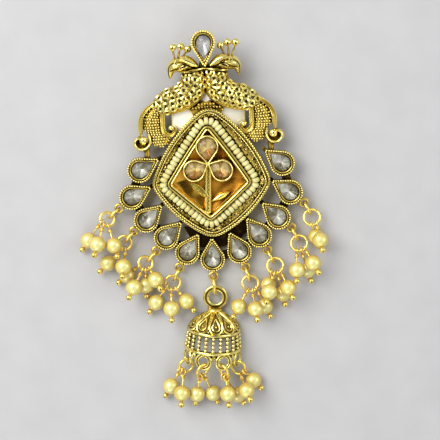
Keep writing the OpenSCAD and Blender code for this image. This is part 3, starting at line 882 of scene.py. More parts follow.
@dataclass
class KiteTray(Assembly):
    """Kite-shaped tray: rope edge, bead groove, double rim and polished field."""

    name: str = "kite_tray"
    rope_r: float = 0.38
    inner_rope_r: float = 0.2
    rope_pitch: float = 1.3
    # Section of the tray: outline, inset, height and patina of each line
    section: tuple[tuple[Kite, Rows], ...] = (
        (KITE, ((0.12, 0.0, 0.5), (0.0, 0.14, 0.3), (0.0, 2.12, 0.1), (0.08, 2.22, 0.6), (0.4, 2.12, 1.0),
                (1.0, 2.1, 1.0), (1.14, 2.06, 0.7), (1.2, 1.9, 0.7), (1.24, 1.8, 0.8), (1.36, 1.74, 0.6),
                (1.6, 1.8, 0.22))),
        (FIELD, ((-2.35, 1.8, 0.22), (-2.2, 1.7, 0.7), (-2.1, 1.3, 1.0), (-0.1, 1.3, 1.0),
                 (-0.04, 1.4, 1.0), (-0.02, 2.6, 0.7), (0.0, 3.1, 0.45), (0.04, 3.45, 0.35),
                 (0.14, 3.66, 0.3), (0.3, 3.72, 0.3), (0.46, 3.66, 0.5), (0.54, 3.56, 0.9),
                 (0.62, 3.6, 1.0), (0.68, 3.8, 0.3), (0.76, 3.94, 0.0), (0.9, 4.0, 0.0),
                 (1.04, 3.94, 0.0), (1.13, 3.78, 0.1), (1.18, 3.5, 0.3), (1.2, 2.2, 0.2),
                 (1.26, 1.9, 0.4), (1.36, 1.74, 0.3), (1.42, 1.7, 0.1))))
    dish: float = 0.45
    # Ripples of the hand-polished field: height, run across, run up and start of each wave
    ripples: Rows = ((0.10, 0.85, 0.35, 0.6), (0.08, -0.45, 0.75, 2.1), (0.05, 1.3, -0.9, 4.0))
    grains: int = 700
    seed: int = 11

    def shape(self) -> None:
        """Adds the tray, whose second finish is that of the field."""
        rings = [at_height(line.outline(inset), z) for line, rows in self.section for inset, z, _ in rows]
        tones = [tone for _, rows in self.section for *_, tone in rows]
        self.piece.loft(rings, caps=(False, False), tone=np.array(tones))
        floor = rings[0][::-1]
        self.piece.loft([floor, at_height(floor * 0.01, 0.0)], caps=(False, True), tone=0.6)
        self.piece.coat = 1
        edge = FIELD.outline(1.42)
        middle = np.array([FIELD.middle_x, 0.0])
        bowl, shade = [], []
        for share in np.linspace(1.0, 0.02, 40):
            line = at_height(middle + (edge - middle) * share, FIELD_FLOOR - self.dish * (1 - share**5))
            for rise, run_x, run_y, start in self.ripples:
                wave = np.sin(run_x * line[:, 0] + run_y * line[:, 1] + start)
                line[:, 2] += rise * wave * (1 - share**8)
            bowl.append(line)
            # Painted shade: the field's tone grows towards the right, standing in for the dark reflections
            # on that side.
            shade.append(np.clip((line[:, 0] + 0.8) / 8.0, 0.0, 0.42))
        self.piece.loft(bowl, caps=(False, True), tone=np.array(shade))
        self.piece.coat = 0
        self.piece.twisted_wire(at_height(KITE.outline(0.38), 2.36), self.rope_r, self.rope_pitch)
        self.piece.twisted_wire(at_height(KITE.outline(1.08), 2.2), self.inner_rope_r, self.rope_pitch,
                                hand=-1)
        self._ground()

    def _ground(self) -> None:
        """Strews grains over the bank between the rope and the beads."""
        dice = np.random.default_rng(self.seed)
        outer, inner = KITE.outline(1.5), FIELD.outline(-2.3)
        pick = dice.integers(0, len(outer), self.grains)
        share = dice.uniform(0, 1, (self.grains, 1))
        at = outer[pick] * share + inner[pick] * (1 - share)
        size = dice.uniform(0.12, 0.28, self.grains)
        self.piece.stamp(BALL, at_height(at, 1.85), np.eye(3)[None] * size[:, None, None],
                         tone=dice.choice([0.0, 0.2, 0.6, 1.0], self.grains))


@dataclass
class SeedBeads(Assembly):
    """Ring of ivory beads in the tray's groove, each with its hole."""

    name: str = "seed_beads"
    slot: str = "seed_bead"
    node: str = "seed_bead_string"
    sharp: float = 60.0
    radius: float = 1.04
    length: float = 1.18
    pitch: float = 1.22
    hole_r: float = 0.3
    out: float = 1.1
    height: float = 2.36
    seed: int = 5

    def shape(self) -> None:
        """Adds the beads."""
        half, r, hole = self.length / 2, self.radius, self.hole_r
        side = [(hole, 0.8), (hole + 0.1, 0.95), (r * 0.55, 1.0), (r * 0.78, 0.9), (r * 0.93, 0.6)]
        section = [(a, -half * b) for a, b in side] + [(r, 0.0)] + [(a, half * b) for a, b in side[::-1]]
        bead = Form.lathe(section, 20)
        at = resample(at_height(FIELD.outline(-self.out), self.height), self.pitch, True)
        along = tangents(at, True)
        out = np.cross(along, UP)
        dice = np.random.default_rng(self.seed)
        tilt = dice.normal(0, 0.09, (len(at), 3))
        size = dice.uniform(0.92, 1.02, (len(at), 3))
        along, out = unit(along + out * tilt[:, :1] + UP * tilt[:, 1:2]), out
        side = unit(np.cross(along, out))
        out = np.cross(side, along)
        axes = np.stack([out * size[:, :1], side * size[:, 1:2], along * size[:, 2:]], axis=1)
        self.piece.stamp(bead, at, axes, dice.uniform(0, 0.55, len(at)))


@dataclass(frozen=True)
class Leaf:
    """Bulging leaf that lies on the field."""

    foot: tuple[float, float]
    tip: tuple[float, float]
    rise: float
    half_w: float = 0.85

    def along(self, shares: Array) -> Array:
        """Gives places on the middle line, at shares of the way from foot to tip."""
        return np.array(self.foot) + (np.array(self.tip) - self.foot) * np.reshape(shares, (-1, 1))

    def across(self, shares: Array) -> Array:
        """Gives the way from the middle line to the upper edge at the same shares."""
        d = np.array(self.tip) - self.foot
        return unit(np.array([-d[1], d[0]])) * np.sin(np.pi * np.reshape(shares, (-1, 1)) ** 1.15)

    def outline(self, inset: float) -> Array:
        """Draws the leaf's edge.

        Args:
            inset: distance inside the edge.

        Returns:
            The edge's points.
        """
        t = np.linspace(0, 1, 17)
        back = t[::-1][1:-1]
        points = np.vstack([self.along(t) + self.half_w * self.across(t),
                            self.along(back) - self.half_w * 0.8 * self.across(back)])
        middle = points.mean(axis=0)
        return middle + (points - middle) * (1 - inset / self.half_w)

    def body(self, piece: Workpiece) -> float:
        """Adds the leaf's bulging body.

        Args:
            piece: the piece that gets it.

        Returns:
            The height of its back.
        """
        edge = FIELD_FLOOR + 0.25
        rings = [at_height(self.outline(0.0), FIELD_FLOOR - 0.5)]
        for t in np.linspace(0.0, 1.0, 7):
            inset = self.half_w * 0.94 * (1 - math.cos(t * math.pi / 2))
            rings.append(at_height(self.outline(inset), edge + self.rise * math.sin(t * math.pi / 2)))
        piece.loft(rings, tone=0.1)
        return edge + self.rise

    def lined(self, piece: Workpiece) -> None:
        """Adds the leaf with a raised outline, a rib and slanting veins.

        Args:
            piece: the piece that gets it.
        """
        top = self.body(piece)
        piece.tube(at_height(self.outline(0.08), top + 0.05), 0.24, 8, closed=True)
        piece.tube(at_height(self.along(np.linspace(0.02, 0.94, 12)), top + 0.06), 0.2, 8)
        for t in np.linspace(0.22, 0.72, 4):
            for side in (-0.45, 0.38):
                vein = self.along([t, t + 0.1]) + self.across([t]) * [[0.0], [side]]
                piece.tube(at_height(vein, top), 0.1, 6, tone=0.7)

    def plain(self, piece: Workpiece) -> None:
        """Adds the leaf as a smooth one with one vein.

        Args:
            piece: the piece that gets it.
        """
        top = self.body(piece)
        piece.tube(at_height(self.along(np.linspace(0.04, 0.9, 10)), top), 0.08, 6, tone=0.7)


@dataclass
class FlowerMount(Assembly):
    """Three polished drop cups, the ring where they meet, a twisted stem and two leaves."""

    name: str = "flower_mount"
    cups: tuple[Drop, ...] = (
        Drop(-0.65, 6.75, -88, 2.85, 0.3, (2.85 - 0.3) / (4.30 - 0.3)),
        Drop(-4.05, 0.94, 24, 2.75, 0.3, (2.75 - 0.3) / (3.90 - 0.3)),
        Drop(2.87, 0.79, 153, 2.75, 0.3, (2.75 - 0.3) / (3.85 - 0.3)))
    # Section of a cup: inset, height and patina
    section: Rows = (
        (0.0, 1.3, 0.6), (0.0, 2.0, 0.35), (0.0, 4.0, 0.0), (0.05, 4.18, 0.0), (0.14, 4.27, 0.0),
        (0.24, 4.3, 0.0), (0.34, 4.25, 0.0), (0.42, 4.12, 0.2), (0.46, 3.9, 0.9), (0.5, 3.5, 1.0),
        (0.52, 2.4, 1.0))
    stem_foot: tuple[float, float] = (-0.95, -9.9)
    stem_top: tuple[float, float] = (-0.42, 2.9)
    left_leaf: Leaf = Leaf((-0.65, -6.0), (-5.0, -2.2), 0.45)
    right_leaf: Leaf = Leaf((-0.5, -7.3), (4.8, -4.8), 0.75)

    def shape(self) -> None:
        """Adds the flower's metal."""
        for cup in self.cups:
            self.piece.walls(cup, self.section)
        self._knot()
        self._stem()
        self.left_leaf.lined(self.piece)
        self.right_leaf.plain(self.piece)

    def _knot(self) -> None:
        """Adds the small ring between the three tips."""
        knot = np.array([-0.62, 2.55, 4.0])
        self.piece.stamp(Form.ring(0.36, 0.17), knot[None], np.eye(3))
        self.piece.balls(knot - [0, 0, 0.3], 0.3, tone=1.0)

    def _stem(self) -> None:
        """Adds the stem: a twist between two thin wires."""
        foot, top = np.array([*self.stem_foot, 2.15]), np.array([*self.stem_top, 2.25])
        line = foot + (top - foot) * np.linspace(0, 1, 40)[:, None]
        self.piece.tube(line - [0, 0, 0.2], 0.5, 8, tone=0.9, flat=0.5)
        self.piece.twisted_wire(line - [0, 0, 0.05], 0.2, 1.9, closed=False, tone=0.3)
        for side in (-1, 1):
            self.piece.tube(line + [side * 0.46, 0, 0.15], 0.26, 10)
        self.piece.balls(foot - [0, 0.1, 0], 0.5)


@dataclass
class FanCups(Assembly):
    """Eleven drop cups with beaded rims, the bars that carry them, and their ears."""

    name: str = "fan_cups"
    cup_r: float = 3.1
    tip_r: float = 0.4
    slope: float = 0.535
    bead_pitch: float = 0.6
    bead_r: float = 0.275
    bead_in: float = 0.2
    bead_z: float = 2.16
    ear_distance: float = 4.3
    ear_in: float = 0.08
    ear_low: float = 1.2
    ear_r: float = 0.95
    ear_wire: float = 0.33
    # Corners of the bar under a cup, in the cup's own axes
    bar: Rows = ((0.5, -0.52), (6.35, -0.52), (6.35, 0.52), (0.5, 0.52))
    # Plate behind the lowest cups
    plate: Rows = ((-7.2, -13.6), (-4.6, -18.6), (-0.3, -19.2), (4.6, -18.6), (9.6, -14.6), (9.0, -11.6))
    # Section of a cup: inset, height and patina
    section: Rows = (
        (0.1, 0.0, 0.7), (0.0, 0.12, 0.6), (0.0, 1.0, 0.5), (0.0, 1.9, 0.5), (0.04, 2.04, 0.9),
        (0.2, 2.06, 1.0), (0.46, 2.04, 1.0), (0.5, 1.92, 1.0), (0.56, 1.96, 0.7), (0.62, 2.06, 0.35),
        (0.72, 2.1, 0.25), (0.84, 2.02, 0.4), (0.97, 1.86, 0.55), (1.08, 1.66, 0.75), (1.15, 1.3, 1.0),
        (1.2, 0.5, 1.0))

    def ear_at(self, row: Sequence[float]) -> Array:
        """Gives the middle of a cup's ear, which is kept clear of the ground.

        Args:
            row: the cup's row of the fan.

        Returns:
            The middle in the casting's axes.
        """
        x, y, _, ear = row
        high = max(self.ear_low, 2.0 - LIFT - (y - 4) * math.sin(LEAN))
        return np.array([x, y, high]) + self.ear_distance * heading(ear)

    def shape(self) -> None:
        """Adds the fan."""
        for row in FAN:
            cup = Drop(*row[:3], self.cup_r, self.tip_r, self.slope)
            self.piece.walls(cup, self.section)
            beads = resample(at_height(cup.outline(self.bead_in), self.bead_z), self.bead_pitch, True)
            self.piece.balls(beads, self.bead_r)
            # The bar's dark tone is painted shade under the cup.
            self.piece.slab(cup.place(self.bar), 0.0, 0.75, 0.12, tone=0.8)
            if row[3] is not None:
                self._ear(row)
        self._backing()

    def _ear(self, row: Sequence[float]) -> None:
        """Adds the ear of one cup with its drop of solder.

        Args:
            row: the cup's row of the fan.
        """
        out, at = heading(row[3]), self.ear_at(row)
        ring = at - self.ear_in * out + self.ear_r * circle(40, EAST, NORTH)
        self.piece.tube(ring, self.ear_wire, 12, closed=True, tone=0.35)
        root = np.array([row[0], row[1], min(at[2], 2.0)]) + out * (self.cup_r + 0.02)
        self.piece.balls(root, (0.42, 0.42, 0.34), tone=0.35)

    def _backing(self) -> None:
        """Adds the webs between the cups and the plate behind the lowest ones, darkened with painted
        shade.
        """
        # The dark tones of the webs and the plate are painted shade between and under the cups.
        for a, b in zip(FAN[:-1], FAN[1:]):
            start, end = np.array(a[:2], float), np.array(b[:2], float)
            along = unit(end - start)
            side = np.array([-along[1], along[0]]) * 1.1
            bar = (start - side, end - side, end + side, start + side)
            self.piece.slab(bar, 0.0, 0.8, 0.15, tone=0.8)
        self.piece.slab(self.plate, 0.0, 0.65, 0.1, tone=1.0)


@dataclass
class CrownCup(Assembly):
    """Tall beaded drop cup between the birds' heads."""

    name: str = "crown_cup"
    line: Drop = Drop(-0.57, 32.06, -88, 2.9, 0.35, (2.9 - 0.35) / (5.7 - 0.35))
    bead_pitch: float = 0.6
    bead_r: float = 0.345
    bead_in: float = 0.16
    bead_z: float = 3.54
    # Section of the cup: inset, height and patina
    section: Rows = (
        (0.1, 0.0, 0.7), (0.0, 0.12, 0.6), (0.0, 3.3, 0.4), (0.04, 3.48, 0.6), (0.2, 3.5, 0.7),
        (0.46, 3.5, 0.8), (0.52, 3.40, 0.6), (0.60, 3.52, 0.2), (0.70, 3.58, 0.05),
        (0.82, 3.48, 0.2), (0.95, 3.3, 0.35), (1.08, 3.0, 0.45), (1.15, 2.6, 0.7), (1.2, 1.9, 0.9))

    def shape(self) -> None:
        """Adds the cup."""
        self.piece.walls(self.line, self.section)
        beads = resample(at_height(self.line.outline(self.bead_in), self.bead_z), self.bead_pitch, True)
        self.piece.balls(beads, self.bead_r)


class Section(Enum):
    """Ways in which a raised shape bulges from edge to edge."""

    ROUND = "round"
    CHANNEL = "channel"


class Side(Enum):
    """The two birds."""

    LEFT = 1
    RIGHT = -1


# Turn of the birds about the casting's middle, in degrees
BIRD_TURN = 1.3
# Height of a channelled band at places across it, as a share of its full height
CHANNEL_AT = (0.0, 0.06, 0.14, 0.24, 0.34, 0.5, 0.66, 0.76, 0.86, 0.94, 1.0)
CHANNEL_HEIGHT = (0.0, 0.72, 1.0, 0.95, 0.78, 0.7, 0.78, 0.95, 1.0, 0.72, 0.0)
CHANNEL_TONE = (0.2, 0.0, 0.0, 0.05, 0.2, 0.3, 0.2, 0.05, 0.0, 0.0, 0.2)


@dataclass(frozen=True)
class Relief:
    """Raised shape along rows of right x, right y, left x, left y and height."""

    rows: Rows
    edge: float = 0.9
    section: Section = Section.ROUND
    steps: int = 8
    across: int = 22

    @staticmethod
    def band(line: Rows, height: float, **options: object) -> "Relief":
        """Makes a band along a line.

        Args:
            line: x, y and the band's width at each point of its middle line.
            height: its height.
            options: other fields of the relief.

        Returns:
            The band's relief.
        """
        path, widths = np.split(np.array(line, float), [2], axis=1)
        along = tangents(path, False)
        side = np.column_stack([along[:, 1], -along[:, 0]]) * widths / 2
        rows = np.column_stack([path + side, path - side, np.full(len(path), height)])
        return Relief(rows.tolist(), **options)

    def surface(self) -> tuple[Array, Array]:
        """Works out the raised face.

        Returns:
            The face's points, row by row, and the place across of each column.
        """
        rows = flow(self.rows, self.steps)
        t = (1 - np.cos(np.pi * np.arange(self.across + 1) / self.across)) / 2
        plan = rows[:, None, 0:2] + (rows[:, None, 2:4] - rows[:, None, 0:2]) * t[None, :, None]
        if self.section is Section.ROUND:
            bulge = np.sin(np.pi * t) ** 0.75
        else:
            bulge = np.interp(t, CHANNEL_AT, CHANNEL_HEIGHT)
        z = self.edge + (rows[:, 4:5] - self.edge) * bulge[None, :]
        return np.dstack([plan, z[:, :, None]]), t

    def put(self, piece: Workpiece, tone: float | Array = 0.0, press: float | Array = 0.0) -> None:
        """Adds the relief to a piece.

        Args:
            piece: the piece that gets it.
            tone: one tone, or one for each column or point of the raised face.
            press: how deep the face is pressed in, as one depth or one for each point.
        """
        face, t = self.surface()
        face[..., 2] -= press
        first, last = face[:, :1].copy(), face[:, -1:].copy()
        first[..., 2] = last[..., 2] = 0.0
        rings = np.concatenate([first, face, last], axis=1)
        if self.section is Section.CHANNEL:
            tone = np.interp(t, CHANNEL_AT, CHANNEL_TONE)
        shade = np.broadcast_to(np.asarray(tone, float), face.shape[:2])
        pad = np.full((len(face), 1), 0.5)
        piece.loft(rings, tone=np.concatenate([pad, shade, pad], axis=1))

    def frames(self, u: Array, t: Array) -> tuple[Array, Array]:
        """Gives places on the face with their axes.

        Args:
            u: place along the rows, from 0 to 1.
            t: place across, from 0 to 1.

        Returns:
            The points, and for each the direction along, across and out.
        """
        face, cols = self.surface()
        along, across = np.gradient(face, axis=0), np.gradient(face, cols, axis=1)
        i = u * (len(face) - 1)
        j = np.interp(t, cols, np.arange(len(cols)))
        i0, j0 = np.minimum(i.astype(int), len(face) - 2), np.minimum(j.astype(int), len(cols) - 2)
        fi, fj = (i - i0)[:, None], (j - j0)[:, None]

        def pick(grid: Array) -> Array:
            """Reads a grid between its points."""
            return ((grid[i0, j0] * (1 - fi) + grid[i0 + 1, j0] * fi) * (1 - fj)
                    + (grid[i0, j0 + 1] * (1 - fi) + grid[i0 + 1, j0 + 1] * fi) * fj)

        a, b = unit(pick(along)), unit(pick(across))
        out = unit(np.cross(b, a))
        out = np.where(out[:, 2:] < 0, -out, out)
        return pick(face), np.stack([a, unit(np.cross(out, a)), out], axis=1)

    def cells(self, pitch: float, width: float, shift: float) -> tuple[Array, Array]:
        """Spreads places over the face in rows across it, counted from its first edge.

        Args:
            pitch: distance between two rows.
            width: distance between two places in a row.
            shift: move of every second row, as a share of a place.

        Returns:
            The places along and across.
        """
        face, cols = self.surface()
        mid = face[:, len(cols) // 2]
        run = np.concatenate([[0.0], np.cumsum(np.linalg.norm(np.diff(mid, axis=0), axis=1))])
        us, ts = [], []
        for k, s in enumerate(np.arange(pitch / 2, run[-1], pitch)):
            u = np.interp(s, run, np.linspace(0, 1, len(run)))
            row = face[int(u * (len(face) - 1))]
            span = np.linalg.norm(row[-1, :2] - row[0, :2])
            t = (np.arange(1, span / width + 1) - 0.5 + (shift if k % 2 else 0.0)) * width / span
            t = t[t < 1]
            us += [u] * len(t)
            ts += t.tolist()
        return np.array(us), np.array(ts)


@dataclass
class Peacock(Assembly):
    """One bird of the pair. Its rows are drawn for the left one, which faces left."""

    side: Side
    stretch: float = 37.4 / 36.66
    scale_pitch: float = 1.72
    scale_r: float = 0.66
    # Rows of the reliefs, as Relief takes them
    body: Rows = (
        (-5.40, 25.3, 0.05, 25.7, 2.4), (-5.60, 24.2, 0.06, 24.6, 2.9), (-5.95, 23.1, 0.06, 23.0, 3.2),
        (-6.90, 22.1, 0.06, 21.3, 3.4), (-8.40, 21.6, -0.15, 19.7, 3.5), (-9.70, 21.1, -0.85, 18.4, 3.5),
        (-10.8, 20.5, -2.00, 17.2, 3.3), (-11.7, 19.7, -3.60, 16.2, 3.1), (-12.5, 18.9, -5.90, 15.5, 2.8),
        (-12.9, 18.2, -8.20, 15.0, 2.4), (-13.1, 17.6, -9.90, 15.1, 1.9))
    lobe: Rows = (
        (-0.02, 17.2, -0.02, 16.0, 1.3), (-0.8, 17.9, -0.8, 16.0, 1.7), (-1.8, 17.4, -1.8, 15.9, 1.8),
        (-3.0, 16.7, -2.9, 15.6, 1.6), (-4.2, 16.2, -4.0, 15.2, 1.3))
    head: Rows = (
        (-1.70, 26.6, -0.90, 25.7, 2.0), (-3.20, 28.2, -2.60, 25.3, 3.0), (-4.70, 28.7, -4.30, 25.1, 3.5),
        (-6.30, 28.7, -5.80, 25.0, 3.6), (-7.80, 28.2, -6.70, 25.2, 3.3), (-8.70, 27.2, -7.15, 25.1, 2.8),
        (-8.95, 26.1, -7.45, 24.8, 2.3), (-8.80, 25.0, -7.75, 24.3, 1.8), (-8.45, 23.7, -8.20, 23.6, 1.1))
    tail: Rows = (
        (-13.2, 17.5, -10.2, 15.6, 1.8), (-14.3, 16.2, -10.9, 15.2, 1.8), (-15.1, 14.7, -11.2, 14.2, 1.8),
        (-15.4, 13.0, -11.3, 12.9, 1.8), (-15.4, 11.6, -11.1, 11.6, 1.8), (-14.6, 10.7, -10.5, 10.5, 1.9),
        (-14.2, 9.6, -9.3, 9.6, 2.0), (-13.9, 8.5, -9.2, 8.9, 2.0), (-13.1, 7.6, -9.9, 7.8, 1.7),
        (-12.1, 7.2, -10.9, 7.3, 1.3))
    strip: Rows = (
        (-12.6, 18.4, -12.9, 17.0, 2.0), (-14.7, 17.1, -13.8, 16.4, 2.2), (-16.1, 15.4, -14.9, 15.2, 2.3),
        (-16.8, 13.6, -15.4, 13.6, 2.3), (-16.9, 11.9, -15.5, 11.8, 2.1), (-16.6, 10.3, -15.9, 10.2, 1.6),
        (-16.2, 9.3, -15.9, 9.2, 1.2))
    # Middle lines of the arm and of the outer scroll: x, y and width
    arm: Rows = (
        (-10.6, 15.8, 1.1), (-10.75, 14.4, 1.3), (-10.75, 13.0, 1.3), (-10.75, 11.8, 1.3),
        (-10.5, 10.8, 1.25), (-9.9, 10.15, 1.2), (-9.1, 9.95, 1.15), (-8.4, 10.3, 1.1), (-8.0, 11.0, 1.0),
        (-8.1, 11.7, 0.9), (-8.6, 12.0, 0.8))
    scroll: Rows = (
        (-14.3, 10.6, 0.9), (-14.1, 9.6, 1.1), (-14.1, 8.5, 1.2), (-14.5, 7.6, 1.2), (-15.3, 6.95, 1.2),
        (-16.3, 6.8, 1.2), (-17.2, 7.2, 1.2), (-17.75, 8.0, 1.15), (-17.7, 8.9, 1.1), (-17.1, 9.5, 1.0),
        (-16.4, 9.4, 0.8))
    # Crest balls and the feet of their stems: ball x, y, foot x, y
    crest: Rows = ((-7.6, 31.4, -6.9, 28.4), (-5.7, 31.5, -6.1, 28.4), (-4.0, 30.8, -5.2, 28.4))
    # Small moves of the left and the right crest, which are bent by hand
    crest_nudge: Rows = ((0.4, -0.1), (-0.3, 0.25))

    @property
    def name(self) -> str:
        """Gives the bird's name."""
        return "peacock_" + self.side.name.lower()

    def place(self, points: Array) -> Array:
        """Takes the bird's points to the brooch's axes.

        Args:
            points: points of the left bird as it is drawn.

        Returns:
            The points of this bird.
        """
        moved = np.array(points)
        moved[..., 0] = moved[..., 0] * self.side.value
        moved = turned(moved, BIRD_TURN)
        moved[..., 0] = moved[..., 0] * self.stretch
        return on_casting(moved)

    def shape(self) -> None:
        """Adds the bird."""
        self._body()
        self._head()
        self._tail()
        self._scrolls()

    def _body(self) -> None:
        """Adds the neck and breast with ringed scales and two rows of grains, and the grained lobe."""
        relief = Relief(self.body, steps=10, across=30)
        relief.put(self.piece, tone=np.interp(relief.surface()[1], (0.78, 0.86), (0.44, 0.36)))
        u, t = relief.cells(self.scale_pitch * 0.9, self.scale_pitch, 0.5)
        keep = (t > 0.08) & (t < np.where(u > 0.42, 0.84, 0.97))
        at, axes = relief.frames(u[keep], t[keep])
        at[:, 0] = np.minimum(at[:, 0], -self.scale_r - 0.15)
        rise = axes[:, 2] * 0.16 + axes[:, 0] * 0.06
        self.piece.stamp(Form.ring(self.scale_r, 0.33, 18, 8), at + rise, axes)
        hollow = axes * np.array([0.36, 0.42, 0.16])[None, :, None]
        self.piece.stamp(BALL, at - axes[:, 0] * 0.05, hollow, tone=0.66)
        for row, size in ((0.885, 0.40), (0.945, 0.34)):
            place = np.arange(0.40 + row / 20, 0.99, 0.042)
            at, axes = relief.frames(place, np.full(len(place), row))
            shape = np.array([1.5, 0.9, 0.5])[None, :, None]
            self.piece.stamp(BALL, at, axes * shape * size, tone=0.4)
        lobe = Relief(self.lobe, edge=0.9, steps=6, across=12)
        lobe.put(self.piece, tone=0.65)
        u, t = lobe.cells(0.8, 0.8, 0.5)
        at, axes = lobe.frames(u, t)
        self.piece.stamp(BALL, at, axes * 0.33, tone=0.42)

    def _head(self) -> None:
        """Adds the head, beak, eye, plume, collar and the crest's balls."""
        head = Relief(self.head, steps=9, across=26)
        face, _ = head.surface()
        eye = self._near(face, (-5.25, 26.42), 21, 1.1, 0.34)
        mouth = self._near(face, (-7.2, 25.8), 12, 1.1, 0.18)
        jaw = self._near(face, (-6.4, 25.4), 12, 1.6, 0.34)
        head.put(self.piece, tone=np.clip(eye + mouth + 0.2 * jaw, 0, 1), press=0.55 * eye + 0.4 * mouth)
        curl = np.array([-6.5, 27.5, 3.5])
        self.piece.stamp(Form.ring(0.4, 0.13), curl[None], np.eye(3), tone=0.1)
        self.piece.balls(curl, (0.3, 0.3, 0.12), tone=1.0)
        self.piece.balls(curl, 0.15)
        for across, wire, tone in ((0.2, 0.13, 0.0), (0.28, 0.1, 0.95)):
            along = np.linspace(0.42, 0.97, 24)
            at, axes = head.frames(along, np.full(24, across))
            self.piece.tube(at + axes[:, 2] * 0.02, wire, 8, tone=tone)
        plume = Relief.band(((-6.0, 28.1, 0.7), (-4.8, 28.2, 1.8), (-3.7, 27.8, 2.2), (-2.6, 27.15, 1.8),
                             (-1.5, 26.5, 0.7)), 4.0, edge=2.8, steps=6, across=14)
        plume.put(self.piece, tone=0.5 * np.abs(2 * plume.surface()[1] - 1) ** 3)
        under = ((-5.2, 27.3, 3.4), (-4.4, 27.0, 3.42), (-3.4, 26.5, 3.2), (-2.4, 26.0, 2.7))
        self.piece.tube(flow(under, 6), 0.16, 8, tone=0.9)
        almond = turned(((-0.95, 0.0, 0.0), (-0.4, 0.3, 0.1), (0.3, 0.3, 0.14), (0.95, 0.0, 0.05),
                         (0.3, -0.26, 0.1), (-0.4, -0.28, 0.06)), 17) + [-4.95, 26.4, 3.62]
        self.piece.tube(almond, 0.12, 8, closed=True)
        lens = turned(np.diag([0.85, 0.3, 0.2]), 17)
        self.piece.stamp(BALL, np.array([[-4.95, 26.4, 3.68]]), lens, tone=1.0)
        for shift, radius, tone in ((0.0, 0.24, 0.0), (-0.42, 0.13, 0.9)):
            collar = np.array([[-5.55, 25.15, 2.1], [-4.2, 25.2, 3.1], [-2.6, 25.45, 3.15],
                               [-1.2, 25.7, 2.75], [0.02, 25.85, 1.9]]) + [0, shift, 0]
            self.piece.tube(flow(collar, 6), radius, 8, tone=tone)
        nudge = self.crest_nudge[self.side is Side.RIGHT]
        for x, y, foot_x, foot_y in self.crest:
            x, y = x + nudge[0], y + nudge[1]
            stem = ((foot_x, foot_y, 1.4), ((x + foot_x) / 2, (y + foot_y) / 2, 1.75), (x, y, 1.6))
            self.piece.tube(flow(stem, 5), 0.28, 8, tone=0.25)
            self.piece.balls((x, y, 1.6), 0.92, form=FINE_BALL)
            # A dark disc near the top of each crest ball is a painted reflection.
            self.piece.balls((x, y - 0.3, 2.42), (0.26, 0.26, 0.13), tone=1.0)

    def _tail(self) -> None:
        """Adds the tail with its rows of grains, and the crescent beside it."""
        tail = Relief(self.tail, edge=0.8, steps=8, across=16)
        tail.put(self.piece, tone=0.38)
        u, t = tail.cells(0.68, 0.62, 0.3)
        keep = (t > 0.02) & (t < 0.98)
        at, axes = tail.frames(u[keep], t[keep])
        self.piece.stamp(BALL, at + axes[:, 2] * 0.08, axes * np.array([0.27, 0.27, 0.26])[None, :, None])
        Relief(self.strip, edge=1.0, section=Section.CHANNEL, steps=8, across=20).put(self.piece)

    def _scrolls(self) -> None:
        """Adds the inner arm, both scrolls and the solder under them."""
        Relief.band(self.arm, 2.3, edge=1.2, section=Section.CHANNEL, steps=7, across=18).put(self.piece)
        Relief.band(self.scroll, 2.3, edge=1.0, steps=7, across=14).put(self.piece)
        web = ((-14.2, 7.6), (-15.4, 6.9), (-17.2, 7.4), (-17.6, 8.8), (-16.4, 9.6), (-15.4, 9.0))
        self.piece.slab(web, 0.0, 0.9, 0.1, tone=0.5)
        self.piece.balls((-15.75, 9.0, 1.7), (0.95, 1.0, 0.8), form=FINE_BALL)
        self.piece.balls((-8.75, 11.75, 1.8), (0.72, 0.66, 0.6), form=FINE_BALL)
        self.piece.balls((-16.7, 8.5, 1.0), (0.5, 0.42, 0.3), tone=1.0)
        self.piece.balls((-8.95, 10.9, 1.25), (0.3, 0.42, 0.3), tone=1.0)
        solder = np.array([[-15.0, 6.9, 0.8], [-15.1, 4.6, 0.8]])
        self.piece.tube(resample(solder, 0.4, False), 0.72, 12, tone=0.6)

    @staticmethod
    def _near(face: Array, at: tuple[float, float], angle: float, length: float, width: float) -> Array:
        """Gives a soft dark spot on a face.

        Args:
            face: the face's points.
            at: the spot's middle.
            angle: its direction in degrees.
            length: half of its length.
            width: half of its width.

        Returns:
            The spot's darkness at each point.
        """
        c, s = math.cos(math.radians(angle)), math.sin(math.radians(angle))
        dx, dy = face[..., 0] - at[0], face[..., 1] - at[1]
        a, b = (dx * c + dy * s) / length, (dy * c - dx * s) / width
        return np.exp(-(a**4) - b**2)


